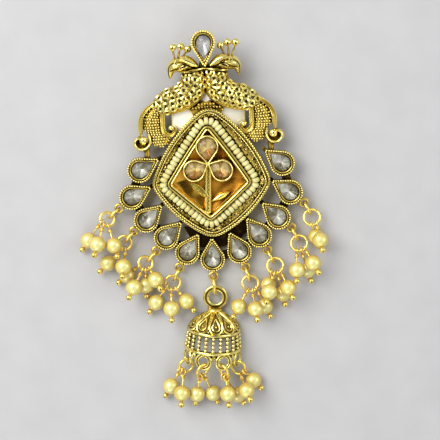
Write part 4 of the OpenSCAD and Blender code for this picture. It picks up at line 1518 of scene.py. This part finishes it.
@dataclass
class BackPlate(Assembly):
    """Polished plate behind the birds, the seat of the birds, and the pin's hinge and catch."""

    name: str = "back_plate"
    left: float = -9.1
    low: float = 9.5
    width: float = 18.2
    height: float = 11.4
    crown_z: float = 0.45
    crown_fall: float = 0.8
    corner_r: float = 0.8
    pin_y: float = 16.0
    pin_z: float = -2.6
    hinge_x: float = -7.2
    catch_x: float = 7.2
    hook_r: float = 0.98

    def shape(self) -> None:
        """Adds the plate, and in the second finish the hinge, the catch, the birds' seat and solder."""
        x0, x1, y0, y1 = self.left, self.left + self.width, self.low, self.low + self.height
        r = self.corner_r
        corners = ((x1 - r, y1 - r, 0), (x0 + r, y1 - r, 90), (x0 + r, y0 + r, 180), (x1 - r, y0 + r, 270))
        outline = np.vstack([np.array([x, y]) + r * spokes(np.radians(np.linspace(a, a + 90, 7)))
                             for x, y, a in corners])
        middle = outline.mean(axis=0)
        rings = [at_height(outline, -0.75), at_height(outline, -0.5)]
        for share in np.linspace(0.98, 0.04, 12):
            high = self.crown_z - self.crown_fall * share**2
            rings.append(at_height(middle + (outline - middle) * share, high))
        self.piece.loft(rings)
        self.piece.coat = 1
        for y in (-1.1, 1.1):
            cheek = rectangle(self.hinge_x, self.pin_y + y, 0.95, 0.33)
            self.piece.slab(cheek, -3.84, -0.4, 0.1, tone=0.3)
        rivet = np.array([[self.hinge_x, self.pin_y + y, self.pin_z] for y in (-1.55, -1.5, 0, 1.5, 1.55)])
        self.piece.tube(rivet, np.array([0.3, 0.4, 0.4, 0.4, 0.3]), 14, tone=0.2)
        self._catch()
        seat = ((-4.4, 16.4), (-0.9, 17.7), (0.9, 17.7), (4.4, 16.4), (3, 13.5), (-3, 13.5))
        self.piece.slab(turned(seat, BIRD_TURN), 0.0, 1.2, 0.15, tone=0.45)
        neck = ((-1.7, 25.2), (1.7, 25.2), (1.0, 27.4), (-1.0, 27.4))
        self.piece.slab(turned(neck, BIRD_TURN), 0.0, 2.2, 0.2, tone=0.85)

    def _catch(self) -> None:
        """Adds the catch: a post with an open hook."""
        self.piece.slab(rectangle(self.catch_x, self.pin_y, 0.6, 0.9), -1.8, -0.4, 0.1, tone=0.3)
        bend = np.radians(np.linspace(-70, 225, 30))
        hook = self.hook_r * bent(bend, NORTH, UP)
        for x in (-0.58, -0.2, 0.2, 0.58):
            self.piece.tube(hook + [self.catch_x + x, self.pin_y, self.pin_z], 0.26, 10, tone=0.2)


# Painted reflections: how dark the foil is painted behind each of the eight lower facets, in light and
# dark wedges
FACET_PAINTED_REFLECTIONS = (0.0, 0.25, 0.75, 1.0, 0.7, 0.3, 0.05, 0.5)


@dataclass
class Gem:
    """Drop-cut stone: table, star, bezel and girdle facets over a foiled pavilion."""

    name: str
    node: str
    line: Drop
    girdle_z: float
    crown: float
    depth: float
    slot: str
    turn: int = 0
    table: float = 0.52
    mid: float = 0.80

    def build(self, finish: StoneFinish) -> None:
        """Makes the stone.

        Args:
            finish: its glass and foil.
        """
        own = Drop(0, 0, 0, self.line.r, self.line.tip_r, self.line.slope)
        culet = np.array([self.line.r * 0.22, 0.0])
        dense = own.outline(0.0, 160) - culet
        order = np.argsort(np.arctan2(dense[:, 1], dense[:, 0]))
        angles = np.arctan2(dense[:, 1], dense[:, 0])[order]
        reach = np.linalg.norm(dense, axis=1)[order]
        at = (np.arange(16) * math.tau / 16 + math.pi) % math.tau - math.pi
        girdle = spokes(at) * np.interp(at, angles, reach, period=math.tau)[:, None]
        upper, lower = at_height(girdle + culet, 0.05), at_height(girdle + culet, -0.05)
        mid = at_height(girdle[1::2] * self.mid + culet, self.crown * 0.58)
        table = at_height(girdle[0::2] * self.table + culet, self.crown)
        points = np.vstack([upper, mid, table])
        u, m, t = 0, 16, 24
        j = np.arange(8)
        even, odd, after = 2 * j, 2 * j + 1, (2 * j + 2) % 16
        before = (j - 1) % 8
        crown = [np.column_stack([u + even, u + odd, m + j]), np.column_stack([u + odd, u + after, m + j]),
                 np.column_stack([u + even, m + j, t + j, m + before]),
                 np.column_stack([m + j, t + (j + 1) % 8, t + j]), (t + j)[None]]
        seat = np.array([0.0, 0.0, self.girdle_z])
        piece = Workpiece(self.name, on_casting)
        piece.add(self.line.place(points) + seat, crown)
        piece.coat = 1
        # The girdle band's darker tone is a painted reflection of the bezel.
        belt = [self.line.place(ring) + seat for ring in (upper, lower)]
        piece.loft(belt, caps=(False, False), tone=0.6)
        point = np.array([*culet, -self.depth])
        for k in range(8):
            facet = np.array([lower[after[k]], lower[odd[k]], lower[even[k]], point])
            # Painted reflections: each facet's foil is light or dark by turn, with a painted gradient from
            # girdle to culet.
            shade = FACET_PAINTED_REFLECTIONS[(k + self.turn) % 8]
            tones = np.array([shade + 0.3, shade, shade + 0.2, shade - 0.1])
            piece.add(self.line.place(facet) + seat, [np.array([[0, 1, 3], [1, 2, 3]])], tones)
        piece.make([finish.material(), finish.foil()], self.slot, [self.node], sharp=0)


@dataclass
class Drops:
    """Rings, pearls and ball-ended pins that hang together."""

    wire: float = 0.34
    eye_r: float = 0.85
    eye_wire: float = 0.19
    pin_wire: float = 0.22
    ball_r: float = 0.77
    pearl_r: float = 2.04
    hole_r: float = 0.33
    wraps: float = 2.2

    def ring(self, piece: Workpiece, centre: Array, axis: Array, radius: float, wire: float,
             seam: float) -> None:
        """Adds a ring of wire with its seam.

        Args:
            piece: the piece that gets it.
            centre: the ring's centre.
            axis: its axis.
            radius: its radius.
            wire: the wire's radius.
            seam: place of the seam in degrees.
        """
        axis = unit(axis)
        a = unit(np.cross(axis, UP if abs(axis[2]) < 0.9 else EAST))
        b = np.cross(axis, a)
        gap = 0.05 / radius
        turn = math.radians(seam) + np.linspace(gap, math.tau - gap, 72)
        out = bent(turn, a, b)
        thick = np.full(len(turn), wire)
        thick[[0, -1]] = wire * 0.86
        piece.tube(centre + radius * out, thick, 14, side=out)

    def pin(self, piece: Workpiece, wire_at: Array, pearl_at: Array, eye_axis: Array) -> None:
        """Adds a head pin: eye, wrapped neck, stem and ball.

        Args:
            piece: the piece that gets it.
            wire_at: where its eye holds the ring's wire.
            pearl_at: the pearl's centre.
            eye_axis: axis of the eye.
        """
        down = unit(pearl_at - wire_at)
        axis = unit(eye_axis - np.dot(eye_axis, down) * down)
        across = np.cross(axis, down)
        length = np.linalg.norm(pearl_at - wire_at)
        turn = np.radians(np.linspace(8, 352, 46))
        lean = np.linspace(-0.5, 0.5, 46)[:, None] * axis * self.eye_wire * 0.9
        eye = wire_at + self.eye_r * bent(turn, down, across) + lean
        room = min(0.34 * self.wraps, length - self.pearl_r - self.eye_r - 0.25)
        s = np.linspace(0, 1, 44)
        spin = math.tau * self.wraps * s + math.pi / 2
        coil = (wire_at + (self.eye_r + 0.12 + room * s)[:, None] * down
                + (self.pin_wire + self.eye_wire * 0.7) * bent(spin, across, axis))
        if room > 0.2:
            eye = np.vstack([eye[:-2], coil])
        piece.tube(eye, self.eye_wire, 9)
        foot = wire_at + self.eye_r * down
        end = pearl_at + (self.pearl_r + 0.1) * down
        piece.tube(np.array([foot, (foot + end) / 2, end]), self.pin_wire, 10)
        ball = end + self.ball_r * down
        piece.balls(ball, self.ball_r, form=FINE_BALL)
        # A dark dot on the upper side of the ball is a painted reflection.
        piece.balls(ball + self.ball_r * 0.92 * unit(0.5 * down + UP), 0.19, tone=1.0)
        collar = Form.ring(0.2, 0.1, 12, 6)
        piece.stamp(collar, end[None], np.stack([axis, across, down])[None])

    def pearl(self, piece: Workpiece, wire_at: Array, pearl_at: Array, tone: float) -> None:
        """Adds a drilled pearl.

        Args:
            piece: the piece that gets it.
            wire_at: where its pin hangs.
            pearl_at: its centre.
            tone: how deep its colour is.
        """
        down = unit(pearl_at - wire_at)
        side = unit(np.cross(down, [1.0, 0.3, 0.2]))
        first = math.asin(self.hole_r / self.pearl_r)
        polar = np.linspace(first, math.pi - first, 26)
        section = [(self.pearl_r * math.sin(p), self.pearl_r * math.cos(p)) for p in polar]
        lip = self.pearl_r * math.cos(first)
        section = [(self.hole_r * 0.92, lip - 0.15)] + section + [(self.hole_r * 0.92, 0.15 - lip)]
        form = Form.lathe(section, 36)
        points = pearl_at + form.points @ np.stack([side, np.cross(down, side), down])
        # Painted shade: the pearl gets darker and more golden from its top down to its sides and
        # underside.
        painted_underside_shade = np.clip(1 - (points[:, 2] - pearl_at[2]) / self.pearl_r, 0, 1)
        piece.add(points, form.faces, 0.15 * tone + 0.7 * painted_underside_shade**0.8)


@dataclass
class Cluster:
    """A link in a fan cup's ear, a ring in the link, and pearls on the ring."""

    number: int
    cup: int
    ring_at: tuple[float, float, float]
    slope: float
    ring_r: float
    link_z: float
    pearls: Rows
    link_r: float = 1.7
    link_wire: float = 0.38
    parts: Drops = field(default_factory=Drops)

    def build(self, wire: Material, coat: Material) -> None:
        """Makes the cluster.

        Args:
            wire: finish of the links, rings and pins.
            coat: finish of the pearls.
        """
        ear_at = on_casting(FanCups().ear_at(FAN[self.cup])) - CENTRE
        ring_at = np.array(self.ring_at)
        level = unit((ring_at - ear_at) * [1, 1, 0])
        side = np.array([-level[1], level[0], 0.0])
        far = bent(math.radians(self.slope), level, UP)
        k = self.number
        link = Workpiece(f"cluster_link_{k}", on_ground)
        middle = np.array([ear_at[0], ear_at[1], self.link_z]) + self.link_r * level
        self.parts.ring(link, middle, side, self.link_r, self.link_wire, 40)
        link.make([wire], "gold_wire", [f"link_{k}"])
        ring = Workpiece(f"cluster_ring_{k}", on_ground)
        self.parts.ring(ring, ring_at, np.cross(far, side), self.ring_r, self.parts.wire, 70 + 31 * k)
        ring.make([wire], "gold_wire", [f"jump_ring_{k}"])
        pins = Workpiece(f"cluster_pins_{k}", on_ground)
        pearls = Workpiece(f"cluster_pearls_{k}", on_ground)
        for n, (px, py, pz, place) in enumerate(self.pearls):
            a = math.radians(place)
            hung = ring_at + self.ring_r * bent(a, far, side)
            centre = np.array([px, py, pz])
            self.parts.pin(pins, hung, centre, np.cross(centre - hung, UP))
            self.parts.pearl(pearls, hung, centre, (0.37 * (k + 2 * n)) % 1.0)
        pins.make([wire], "gold_wire", [f"head_pins_{k}"])
        pearls.make([coat], "pearl", [f"pearls_{k}"])


CLUSTERS = (
    Cluster(1, 1, (-26.3, -10.85, 2.45), 15, 1.75, 2.40,
            ((-31.2, -16.0, 2.05, -16), (-28.7, -16.8, 5.35, 16), (-24.7, -17.3, 4.30, 60))),
    Cluster(2, 2, (-22.3, -17.00, 1.90), 0, 1.75, 2.15,
            ((-26.6, -21.9, 2.05, 12), (-22.5, -22.6, 5.20, 48))),
    Cluster(3, 3, (-17.2, -22.30, 2.50), 16, 1.75, 2.10,
            ((-20.2, -27.9, 5.00, 12), (-21.9, -25.2, 2.05, -30), (-14.7, -26.2, 4.90, 80),
             (-17.3, -27.9, 2.05, 42))),
    Cluster(4, 4, (-10.6, -27.50, 2.20), 8, 1.85, 2.10,
            ((-15.0, -32.3, 2.05, -35), (-11.1, -33.8, 3.80, 12), (-7.4, -32.3, 2.05, 55))),
    Cluster(5, 6, (8.9, -28.40, 2.20), 8, 2.00, 2.10,
            ((5.8, -34.0, 3.20, -40), (9.9, -34.5, 5.35, 0), (12.4, -34.3, 2.05, 34))),
    Cluster(6, 7, (15.3, -24.15, 2.50), 16, 2.00, 2.15,
            ((13.4, -30.2, 5.95, -38), (18.2, -29.4, 5.50, 18), (16.9, -31.3, 2.05, -8),
             (13.5, -28.9, 2.05, -63))),
    Cluster(7, 8, (21.5, -18.70, 2.50), 16, 2.00, 2.20,
            ((24.6, -23.5, 5.45, 20), (20.5, -25.1, 5.30, -44), (23.4, -25.6, 2.05, -10))),
    Cluster(8, 9, (24.9, -12.30, 2.50), 16, 2.00, 2.40,
            ((26.5, -17.8, 6.10, 6), (25.8, -17.2, 2.05, -31))))


@dataclass
class Bell(Assembly):
    """Half-round bell: ring, neck, dome with petals, pierced cage, loops and their drops."""

    name: str = "bell"
    node: str = "jhumka_bell"
    at: tuple[float, float, float] = (0.0, -31.6, 1.65)
    direction: float = -95
    fall: float = 7
    ring_r: float = 2.4
    ring_wire: float = 0.58
    ring_half_w: float = 0.72
    floor: float = 0.02
    loop_s: float = 15.0
    loop_out: float = 6.9
    loop_r: float = 1.65
    drop_ring_r: float = 1.9
    drop_ring_in: float = 1.1
    link_r: float = 2.1
    link_wire: float = 0.4
    link_z: float = 2.52
    # Dome's outer line: distance along the axis and radius
    dome: Rows = (
        (3.9, 1.2), (3.95, 1.9), (4.3, 2.9), (5.0, 4.1), (5.9, 5.1), (7.0, 5.9), (8.2, 6.4), (8.7, 6.5))
    # Loops: angle round the bell, ring heading, ring slope down, ring twist, and pearls
    loops: Sequence[tuple] = (
        (-64, -118, 8, 0, ((-12.1, -53.8, 2.05, 34), (-9.3, -55.2, 4.75, -4))),
        (-19, -98, 30, 25, ((-5.6, -55.9, 2.90, 24), (-1.5, -56.0, 2.05, -16))),
        (24, -84, 30, -10, ((2.2, -55.6, 5.40, 30), (4.7, -56.6, 2.25, -4))),
        (66, -67, 8, 0, ((6.9, -54.9, 5.40, -12), (8.8, -53.1, 2.05, 42))))
    petals: Sequence[float] = (-65, -30, 5, 40, 75)
    petal_s: float = 6.35
    dot_s: float = 7.6
    # Closed sections of neck, rim and lip: distance along the axis, radius and patina
    neck: Rows = (
        (2.75, 0.3, 0.3), (2.75, 1.5, 0.0), (2.95, 1.86, 0.0), (3.2, 1.98, 0.0), (3.45, 1.88, 0.0),
        (3.6, 1.66, 0.8), (3.9, 1.7, 0.8), (4.3, 2.1, 0.1), (4.4, 0.3, 0.4))
    rim: Rows = (
        (7.95, 6.1, 0.9), (7.9, 6.5, 0.3), (8.02, 6.78, 0.0), (8.25, 6.88, 0.0), (8.5, 6.84, 0.0),
        (8.66, 6.65, 0.3), (8.7, 6.1, 0.9))
    lip: Rows = (
        (12.5, 6.4, 0.9), (12.5, 6.9, 0.4), (12.62, 7.2, 0.0), (12.85, 7.32, 0.0), (13.12, 7.3, 0.0),
        (13.32, 7.12, 0.0), (13.4, 6.8, 0.5), (13.4, 6.4, 0.9))
    # Bars of the cage: distances of the beads along the axis, the first bar's angle and the step
    cage_s: Sequence[float] = (9.15, 10.15, 11.15, 12.15)
    cage_from: float = -79.0
    cage_pitch: float = 15.8
    # Flare beside a loop: way back along the axis, to the side and inwards
    flare: Rows = ((-1.85, 2.75, 0.5), (-1.5, 2.5, 0.33), (-0.9, 2.26, 0.15), (-0.2, 2.12, 0.0))
    flare_turn: float = 23.5
    flare_end: float = 86.0
    parts: Drops = field(default_factory=Drops)

    def __post_init__(self) -> None:
        """Works out the bell's axis, its right side and its upper side."""
        self.axis = heading(self.direction, -self.fall)
        self.right = unit(np.cross(UP, self.axis))
        self.top = np.cross(self.axis, self.right)

    def out(self, degrees: float | Array) -> Array:
        """Gives the direction from the axis at an angle from the upper side."""
        return bent(np.radians(np.asarray(degrees, float)), self.top, self.right)

    def point(self, s: float | Array, r: float | Array, degrees: float | Array) -> Array:
        """Gives a point from its distance along the axis, its radius and its angle."""
        s, r = np.asarray(s, float)[..., None], np.asarray(r, float)[..., None]
        return np.array(self.at) + s * self.axis + r * self.out(degrees)

    def reach(self, s: float, r: float) -> float:
        """Gives how far round the bell goes before it meets the ground."""
        level = (self.floor - self.at[2] - s * self.axis[2]) / max(r * self.top[2], 1e-6)
        return math.degrees(math.acos(min(1.0, max(-1.0, level))))

    def band(self, section: Rows, steps: int) -> None:
        """Turns a closed section round the bell, down to the ground on both sides.

        Args:
            section: distance along the axis, radius and patina of each point.
            steps: steps from side to side.
        """
        share = np.linspace(-1, 1, steps + 1)
        rings = [[self.point(s, r, self.reach(s, r) * k) for s, r, _ in section] for k in share]
        self.piece.loft(rings, tone=np.tile([tone for *_, tone in section], steps + 1))

    def dome_r(self, s: float | Array) -> Array:
        """Gives the dome's radius at a distance along the axis."""
        line = flow(self.dome, 6)
        return np.interp(s, line[:, 0], line[:, 1])

    def place(self, points: Array) -> Array:
        """Takes the bell's points to the brooch's axes."""
        return on_ground(points)

    def shape(self) -> None:
        """Adds the bell."""
        self._ring()
        self._dome()
        self._cage()
        self._loops()

    def _ring(self) -> None:
        """Adds the grooved ring and the neck."""
        out = circle(72, self.axis, self.right)
        a = math.tau * np.arange(24) / 24
        groove = np.exp(-(((a - math.pi / 2) / 0.42) ** 2))
        tone = groove + np.exp(-(((a - 1.5 * math.pi) / 0.42) ** 2))
        wide = self.ring_half_w * np.cos(a)[None, :, None] * out[:, None, :]
        high = self.ring_wire * (np.sin(a) - 0.4 * groove)[None, :, None] * self.top
        rings = np.array(self.at) + self.ring_r * out[:, None, :] + wide + high
        self.piece.loft(rings, wrapped=True, tone=np.tile(tone, len(out)))
        self.band(self.neck, 40)

    def _dome(self) -> None:
        """Adds the dome, its petals and the rims round the cage."""
        outer = flow(self.dome, 4)
        inner = [(s + 0.55, max(r - 0.75, 0.3), 0.5) for s, r in outer[::-1]]
        inner[0] = (outer[-1][0], outer[-1][1] - 0.8, 0.5)
        self.band([(s, r, 0.62) for s, r in outer] + inner, 72)
        for middle in self.petals:
            for size, wire, lift in ((1.06, 0.3, 0.16), (0.6, 0.21, 0.14)):
                self._petal(middle, size, wire, lift)
            self.piece.balls(self.point(self.petal_s, self.dome_r(self.petal_s) + 0.1, middle), 0.27)
        for middle in np.add(self.petals[:-1], self.petals[1:]) / 2:
            self.piece.balls(self.point(self.dot_s, self.dome_r(self.dot_s) + 0.05, middle), 0.24)
        self.band(self.rim, 80)
        self.band(self.lip, 84)

    def _petal(self, middle: float, size: float, wire: float, lift: float) -> None:
        """Adds one drop-shaped wire on the dome.

        Args:
            middle: the petal's angle round the bell.
            size: its size as a share of the full petal.
            wire: radius of its wire.
            lift: height of the wire's middle over the dome.
        """
        line = Drop(0, 0, 0, 1.5 * size, 0.12, 0.52).outline(0.0, 26)
        s = self.petal_s - line[:, 0]
        r = self.dome_r(s)
        around = np.degrees(line[:, 1] / np.maximum(r, 2.0))
        keep = np.abs(middle + around) < np.array([self.reach(a, b) - 2 for a, b in zip(s, r)])
        path = self.point(s, r + lift, middle + around)
        if keep.all():
            self.piece.tube(path, wire, 8, closed=True)
        elif keep.sum() > 4:
            shift = int(np.argmin(keep))
            path, keep = np.roll(path, -shift, axis=0), np.roll(keep, -shift)
            self.piece.tube(path[keep], wire, 8)

    def _cage(self) -> None:
        """Adds the bars of the cage, each a row of beads on a thin strip."""
        s = np.array(self.cage_s)
        for angle in np.arange(self.cage_from, 1 - self.cage_from, self.cage_pitch):
            at = self.point(s, 6.5 + (s - 8.7) * 0.12, angle)
            side = np.cross(self.axis, self.out(angle))
            axes = np.stack([self.axis * 0.5, side * 0.45, self.out(angle) * 0.44])
            self.piece.stamp(BALL, at, axes[None])
            strip = self.point(np.linspace(8.6, 12.6, 8), 6.2 + np.linspace(0, 0.45, 8), angle)
            self.piece.tube(strip, 0.27, 8, side=np.broadcast_to(side, (8, 3)), tone=0.7, flat=0.8)

    def _loops(self) -> None:
        """Adds the loops with their grooves and feet, and the flares that clear the ground."""
        for angle, *_ in self.loops:
            out = self.out(angle)
            centre = self.point(self.loop_s, self.loop_out, angle)
            side = np.cross(out, self.axis)
            spoke = circle(48, self.axis, side)
            for radius, wire in ((self.loop_r + 0.34, 0.25), (self.loop_r - 0.26, 0.21)):
                self.piece.tube(centre + radius * spoke, wire, 12, closed=True, side=spoke)
            groove = centre + (self.loop_r + 0.02) * spoke
            self.piece.tube(groove, 0.2, 8, closed=True, side=spoke, tone=1.0, flat=0.5)
            self.piece.balls(centre - self.axis * (self.loop_r + 0.05), 0.5, tone=0.4)
            for hand in (-1, 1):
                if abs(angle + hand * self.flare_turn) < self.flare_end:
                    flare = [centre + a * self.axis + hand * b * side - c * out for a, b, c in self.flare]
                    self.piece.tube(flow(flare, 5), 0.2, 8)
                    web = centre - 1.45 * self.axis + 1.95 * hand * side - 0.3 * out
                    sizes = np.array([self.axis * 0.62, side * 0.62, out * 0.1])
                    self.piece.stamp(BALL, web[None], sizes, tone=1.0)

    def link(self, wire: Material) -> None:
        """Adds the link between the fan and the bell's ring.

        Args:
            wire: its finish.
        """
        ear = on_casting(FanCups().ear_at(FAN[MIDDLE_CUP])) - CENTRE
        level = unit((np.array(self.at) - ear) * [1, 1, 0])
        link = Workpiece("middle_link", on_ground)
        self.parts.ring(link, np.array([ear[0], ear[1], self.link_z]) + self.link_r * level,
                        np.array([-level[1], level[0], 0.0]), self.link_r, self.link_wire, 200)
        link.make([wire], "gold_wire", ["bell_link"])

    def drops(self, wire: Material, coat: Material) -> None:
        """Adds the rings, pins and pearls under the bell.

        Args:
            wire: finish of rings and pins.
            coat: finish of the pearls.
        """
        rings, pins = Workpiece("bell_rings", on_ground), Workpiece("bell_pins", on_ground)
        pearls = Workpiece("bell_pearls", on_ground)
        for n, (angle, turn, fall, twist, spots) in enumerate(self.loops):
            out = self.out(angle)
            edge = self.point(self.loop_s + self.loop_r, self.loop_out, angle)
            run = heading(turn, -fall)
            up = unit(out - np.dot(out, run) * run)
            up = bent(math.radians(twist), up, np.cross(run, up))
            size = self.drop_ring_r
            centre = edge + (size - self.drop_ring_in) * run
            self.parts.ring(rings, centre, np.cross(run, up), size, self.parts.wire, 50 + 60 * n)
            for m, (x, y, z, place) in enumerate(spots):
                b = math.radians(place)
                hung = centre + size * bent(b, run, up)
                spot = np.array([x, y, z])
                self.parts.pin(pins, hung, spot, bent(b, up, -run))
                self.parts.pearl(pearls, hung, spot, (0.29 * (n + 3 * m) + 0.1) % 1.0)
        rings.make([wire], "gold_wire", ["jhumka_rings"])
        pins.make([wire], "gold_wire", ["jhumka_pins"])
        pearls.make([coat], "pearl", ["jhumka_pearls"])


@dataclass
class Studio:
    """Pale floor, soft light all round with a dark gap overhead, and the camera."""

    aim: tuple[float, float, float] = (1.9, -12.1, 2.5)
    distance: float = 300.0
    pitch: float = 4.6
    roll: float = 2.2
    focal_px: float = 1200.0
    frame_px: float = 440.0
    sensor: float = 36.0
    half_floor: float = 0.8
    # Softboxes: place in metres, size, power and colour
    boxes: Sequence[tuple] = (
        ((-0.30, 0.26, 0.42), 0.42, 3.4, (1.0, 0.99, 0.96)),
        ((0.46, 0.10, 0.30), 0.30, 0.7, (1.0, 0.98, 0.95)),
        ((-0.16, -0.48, 0.30), 0.30, 0.6, (0.97, 0.98, 1.0)))
    # Brightness of the tent at sines of the angle above the floor
    tent: Rows = ((0.0, 0.28), (0.45, 0.55), (0.80, 0.90), (0.92, 0.50), (0.97, 0.03))

    def build(self) -> None:
        """Makes the floor, the lights and the camera."""
        self._floor()
        self._tent()
        bpy.context.scene.view_settings.view_transform = "Standard"
        target = Vector(((self.aim[0] + CENTRE[0]) * MM, (self.aim[1] + CENTRE[1]) * MM, 0.0))
        for k, (at, size, power, colour) in enumerate(self.boxes):
            data = bpy.data.lights.new(f"softbox_{k + 1}", "AREA")
            data.size, data.energy, data.color = size, power, colour
            light = show(data.name, data)
            light.location = at
            light.rotation_euler = (target - Vector(at)).to_track_quat("-Z", "Y").to_euler()
        self._camera()

    def _tent(self) -> None:
        """Makes the light tent: bright all round, with a dark opening overhead."""
        world = bpy.data.worlds.new("light_tent")
        world.use_nodes = True
        tree = world.node_tree
        way = tree.nodes.new("ShaderNodeTexCoord")
        split = tree.nodes.new("ShaderNodeSeparateXYZ")
        ramp = tree.nodes.new("ShaderNodeValToRGB")
        fill_ramp(ramp, [(at, (grey, grey, grey)) for at, grey in self.tent])
        tree.links.new(way.outputs["Generated"], split.inputs[0])
        tree.links.new(split.outputs["Z"], ramp.inputs[0])
        tree.links.new(ramp.outputs[0], tree.nodes["Background"].inputs["Color"])
        tree.nodes["Background"].inputs["Strength"].default_value = 1.0
        bpy.context.scene.world = world

    def _floor(self) -> None:
        """Makes the pale floor."""
        r = Recipe("pale_paper")
        r.set(Base_Color=r.ramp(r.noise(9.0, 3.0), [(0.3, (0.46, 0.46, 0.47)), (0.7, (0.49, 0.49, 0.50))]),
              Roughness=0.85)
        r.bump(r.noise(0.6), 0.02)
        mesh = bpy.data.meshes.new("floor")
        corners = at_height(rectangle(0.0, 0.0, self.half_floor, self.half_floor), 0.0)
        mesh.from_pydata(corners.tolist(), [], [(0, 1, 2, 3)])
        mesh.materials.append(r.material)
        floor = show("floor", mesh)

    def _camera(self) -> None:
        """Sets the camera at the photograph's angle."""
        pitch, roll = math.radians(self.pitch), math.radians(self.roll)
        back = np.array([0, math.sin(pitch), math.cos(pitch)])
        level_up = np.array([0, math.cos(pitch), -math.sin(pitch)])
        up, right = bent(roll, level_up, EAST), bent(roll, EAST, -level_up)
        place = (np.array(self.aim) + CENTRE + self.distance * back) * MM
        data = bpy.data.cameras.new("camera")
        data.sensor_width = data.sensor_height = self.sensor
        data.lens = self.sensor * self.focal_px / self.frame_px
        data.clip_start, data.clip_end = 0.01, 10.0
        camera = show("camera", data)
        axes = np.column_stack([right, up, back])
        camera.matrix_world = Matrix.Translation(place) @ Matrix(axes.tolist()).to_4x4()
        bpy.context.scene.camera = camera


def stones(clear: StoneFinish, pale: StoneFinish, champagne: StoneFinish) -> None:
    """Sets all stones.

    Args:
        clear: finish of the fan's stones.
        pale: finish of the crown's stone.
        champagne: finish of the flower's stones.
    """
    for k, row in enumerate(FAN, 1):
        line = Drop(*row[:3], 1.95, 0.2, 0.47)
        Gem(f"fan_gem_{k}", f"fan_stone_{k}", line, 1.75, 0.85, 0.95, "clear_stone", 3 * k).build(clear)
    crown = CrownCup().line
    top = Drop(crown.x, crown.y, crown.tip, 1.72, 0.2, 0.38)
    Gem("crown_gem", "top_stone", top, 3.2, 0.85, 0.95, "clear_stone", 4).build(pale)
    for k, cup in enumerate(FlowerMount().cups, 1):
        line = Drop(cup.x, cup.y, cup.tip, cup.r - 0.56, 0.2, cup.slope)
        Gem(f"flower_gem_{k}", f"flower_stone_{k}", line, FIELD_FLOOR + 1.65, 0.9, 0.95,
            "champagne_stone", 3 * k).build(champagne)


def main() -> None:
    """Builds the studio and every piece."""
    logging.basicConfig(level=logging.INFO, format="%(name)s %(message)s")
    Studio().build()
    gold = GoldFinish("antique_gilt").material()
    # The polished plate's near-white colour is a painted reflection of the bright light that the flat
    # plate mirrors.
    plate = GoldFinish("polished_plate_painted_reflection", bright=(1.0, 0.99, 0.90), amber=(0.95, 0.85, 0.5), gloss=0.5,
                       hollow_reach=0.3, hollow_weight=0.3, cloud=0.1).material()
    wire = GoldFinish("gilt_wire", bright=(0.98, 0.77, 0.18), amber=(0.84, 0.48, 0.045), hollow_reach=0.6,
                      hollow_weight=0.45, gloss=0.25, hammer=0.0015, cloud=0.08).material()
    flower = GoldFinish("flower_gilt", hollow_weight=0.35, hammer=0.004, cloud=0.12, gloss=0.18).material()
    field_gilt = GoldFinish("field_gilt", bright=(1.0, 0.60, 0.09), amber=(0.74, 0.35, 0.03),
                            brown=(0.20, 0.06, 0.008), gloss=0.06, hammer=0.01, hammer_size=1.2,
                            hollow_reach=2.2, hollow_weight=0.9, cloud=0.3).material()
    KiteTray().build(gold, field_gilt)
    SeedBeads().build(BeadFinish().material())
    FlowerMount().build(flower)
    FanCups().build(gold)
    CrownCup().build(gold)
    for side in Side:
        Peacock(side).build(gold)
    BackPlate().build(plate, gold)
    stones(StoneFinish("smoky_stone", (0.96, 0.96, 0.93), (0.22, 0.20, 0.13), (0.74, 0.74, 0.68)),
           StoneFinish("ice_stone", (0.95, 0.96, 0.98), (0.46, 0.46, 0.50), (0.82, 0.82, 0.83)),
           StoneFinish("champagne_stone", (1.0, 0.91, 0.66), (0.42, 0.20, 0.05), (1.0, 0.90, 0.52)))
    pearl = PearlFinish().material()
    for cluster in CLUSTERS:
        cluster.build(wire, pearl)
    bell = Bell()
    bell.build(gold)
    bell.link(wire)
    bell.drops(wire, pearl)
    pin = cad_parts["pin_stem"]
    pin.data.materials.clear()
    pin.data.materials.append(SteelFinish().material())


if __name__ == "__main__":
    main()
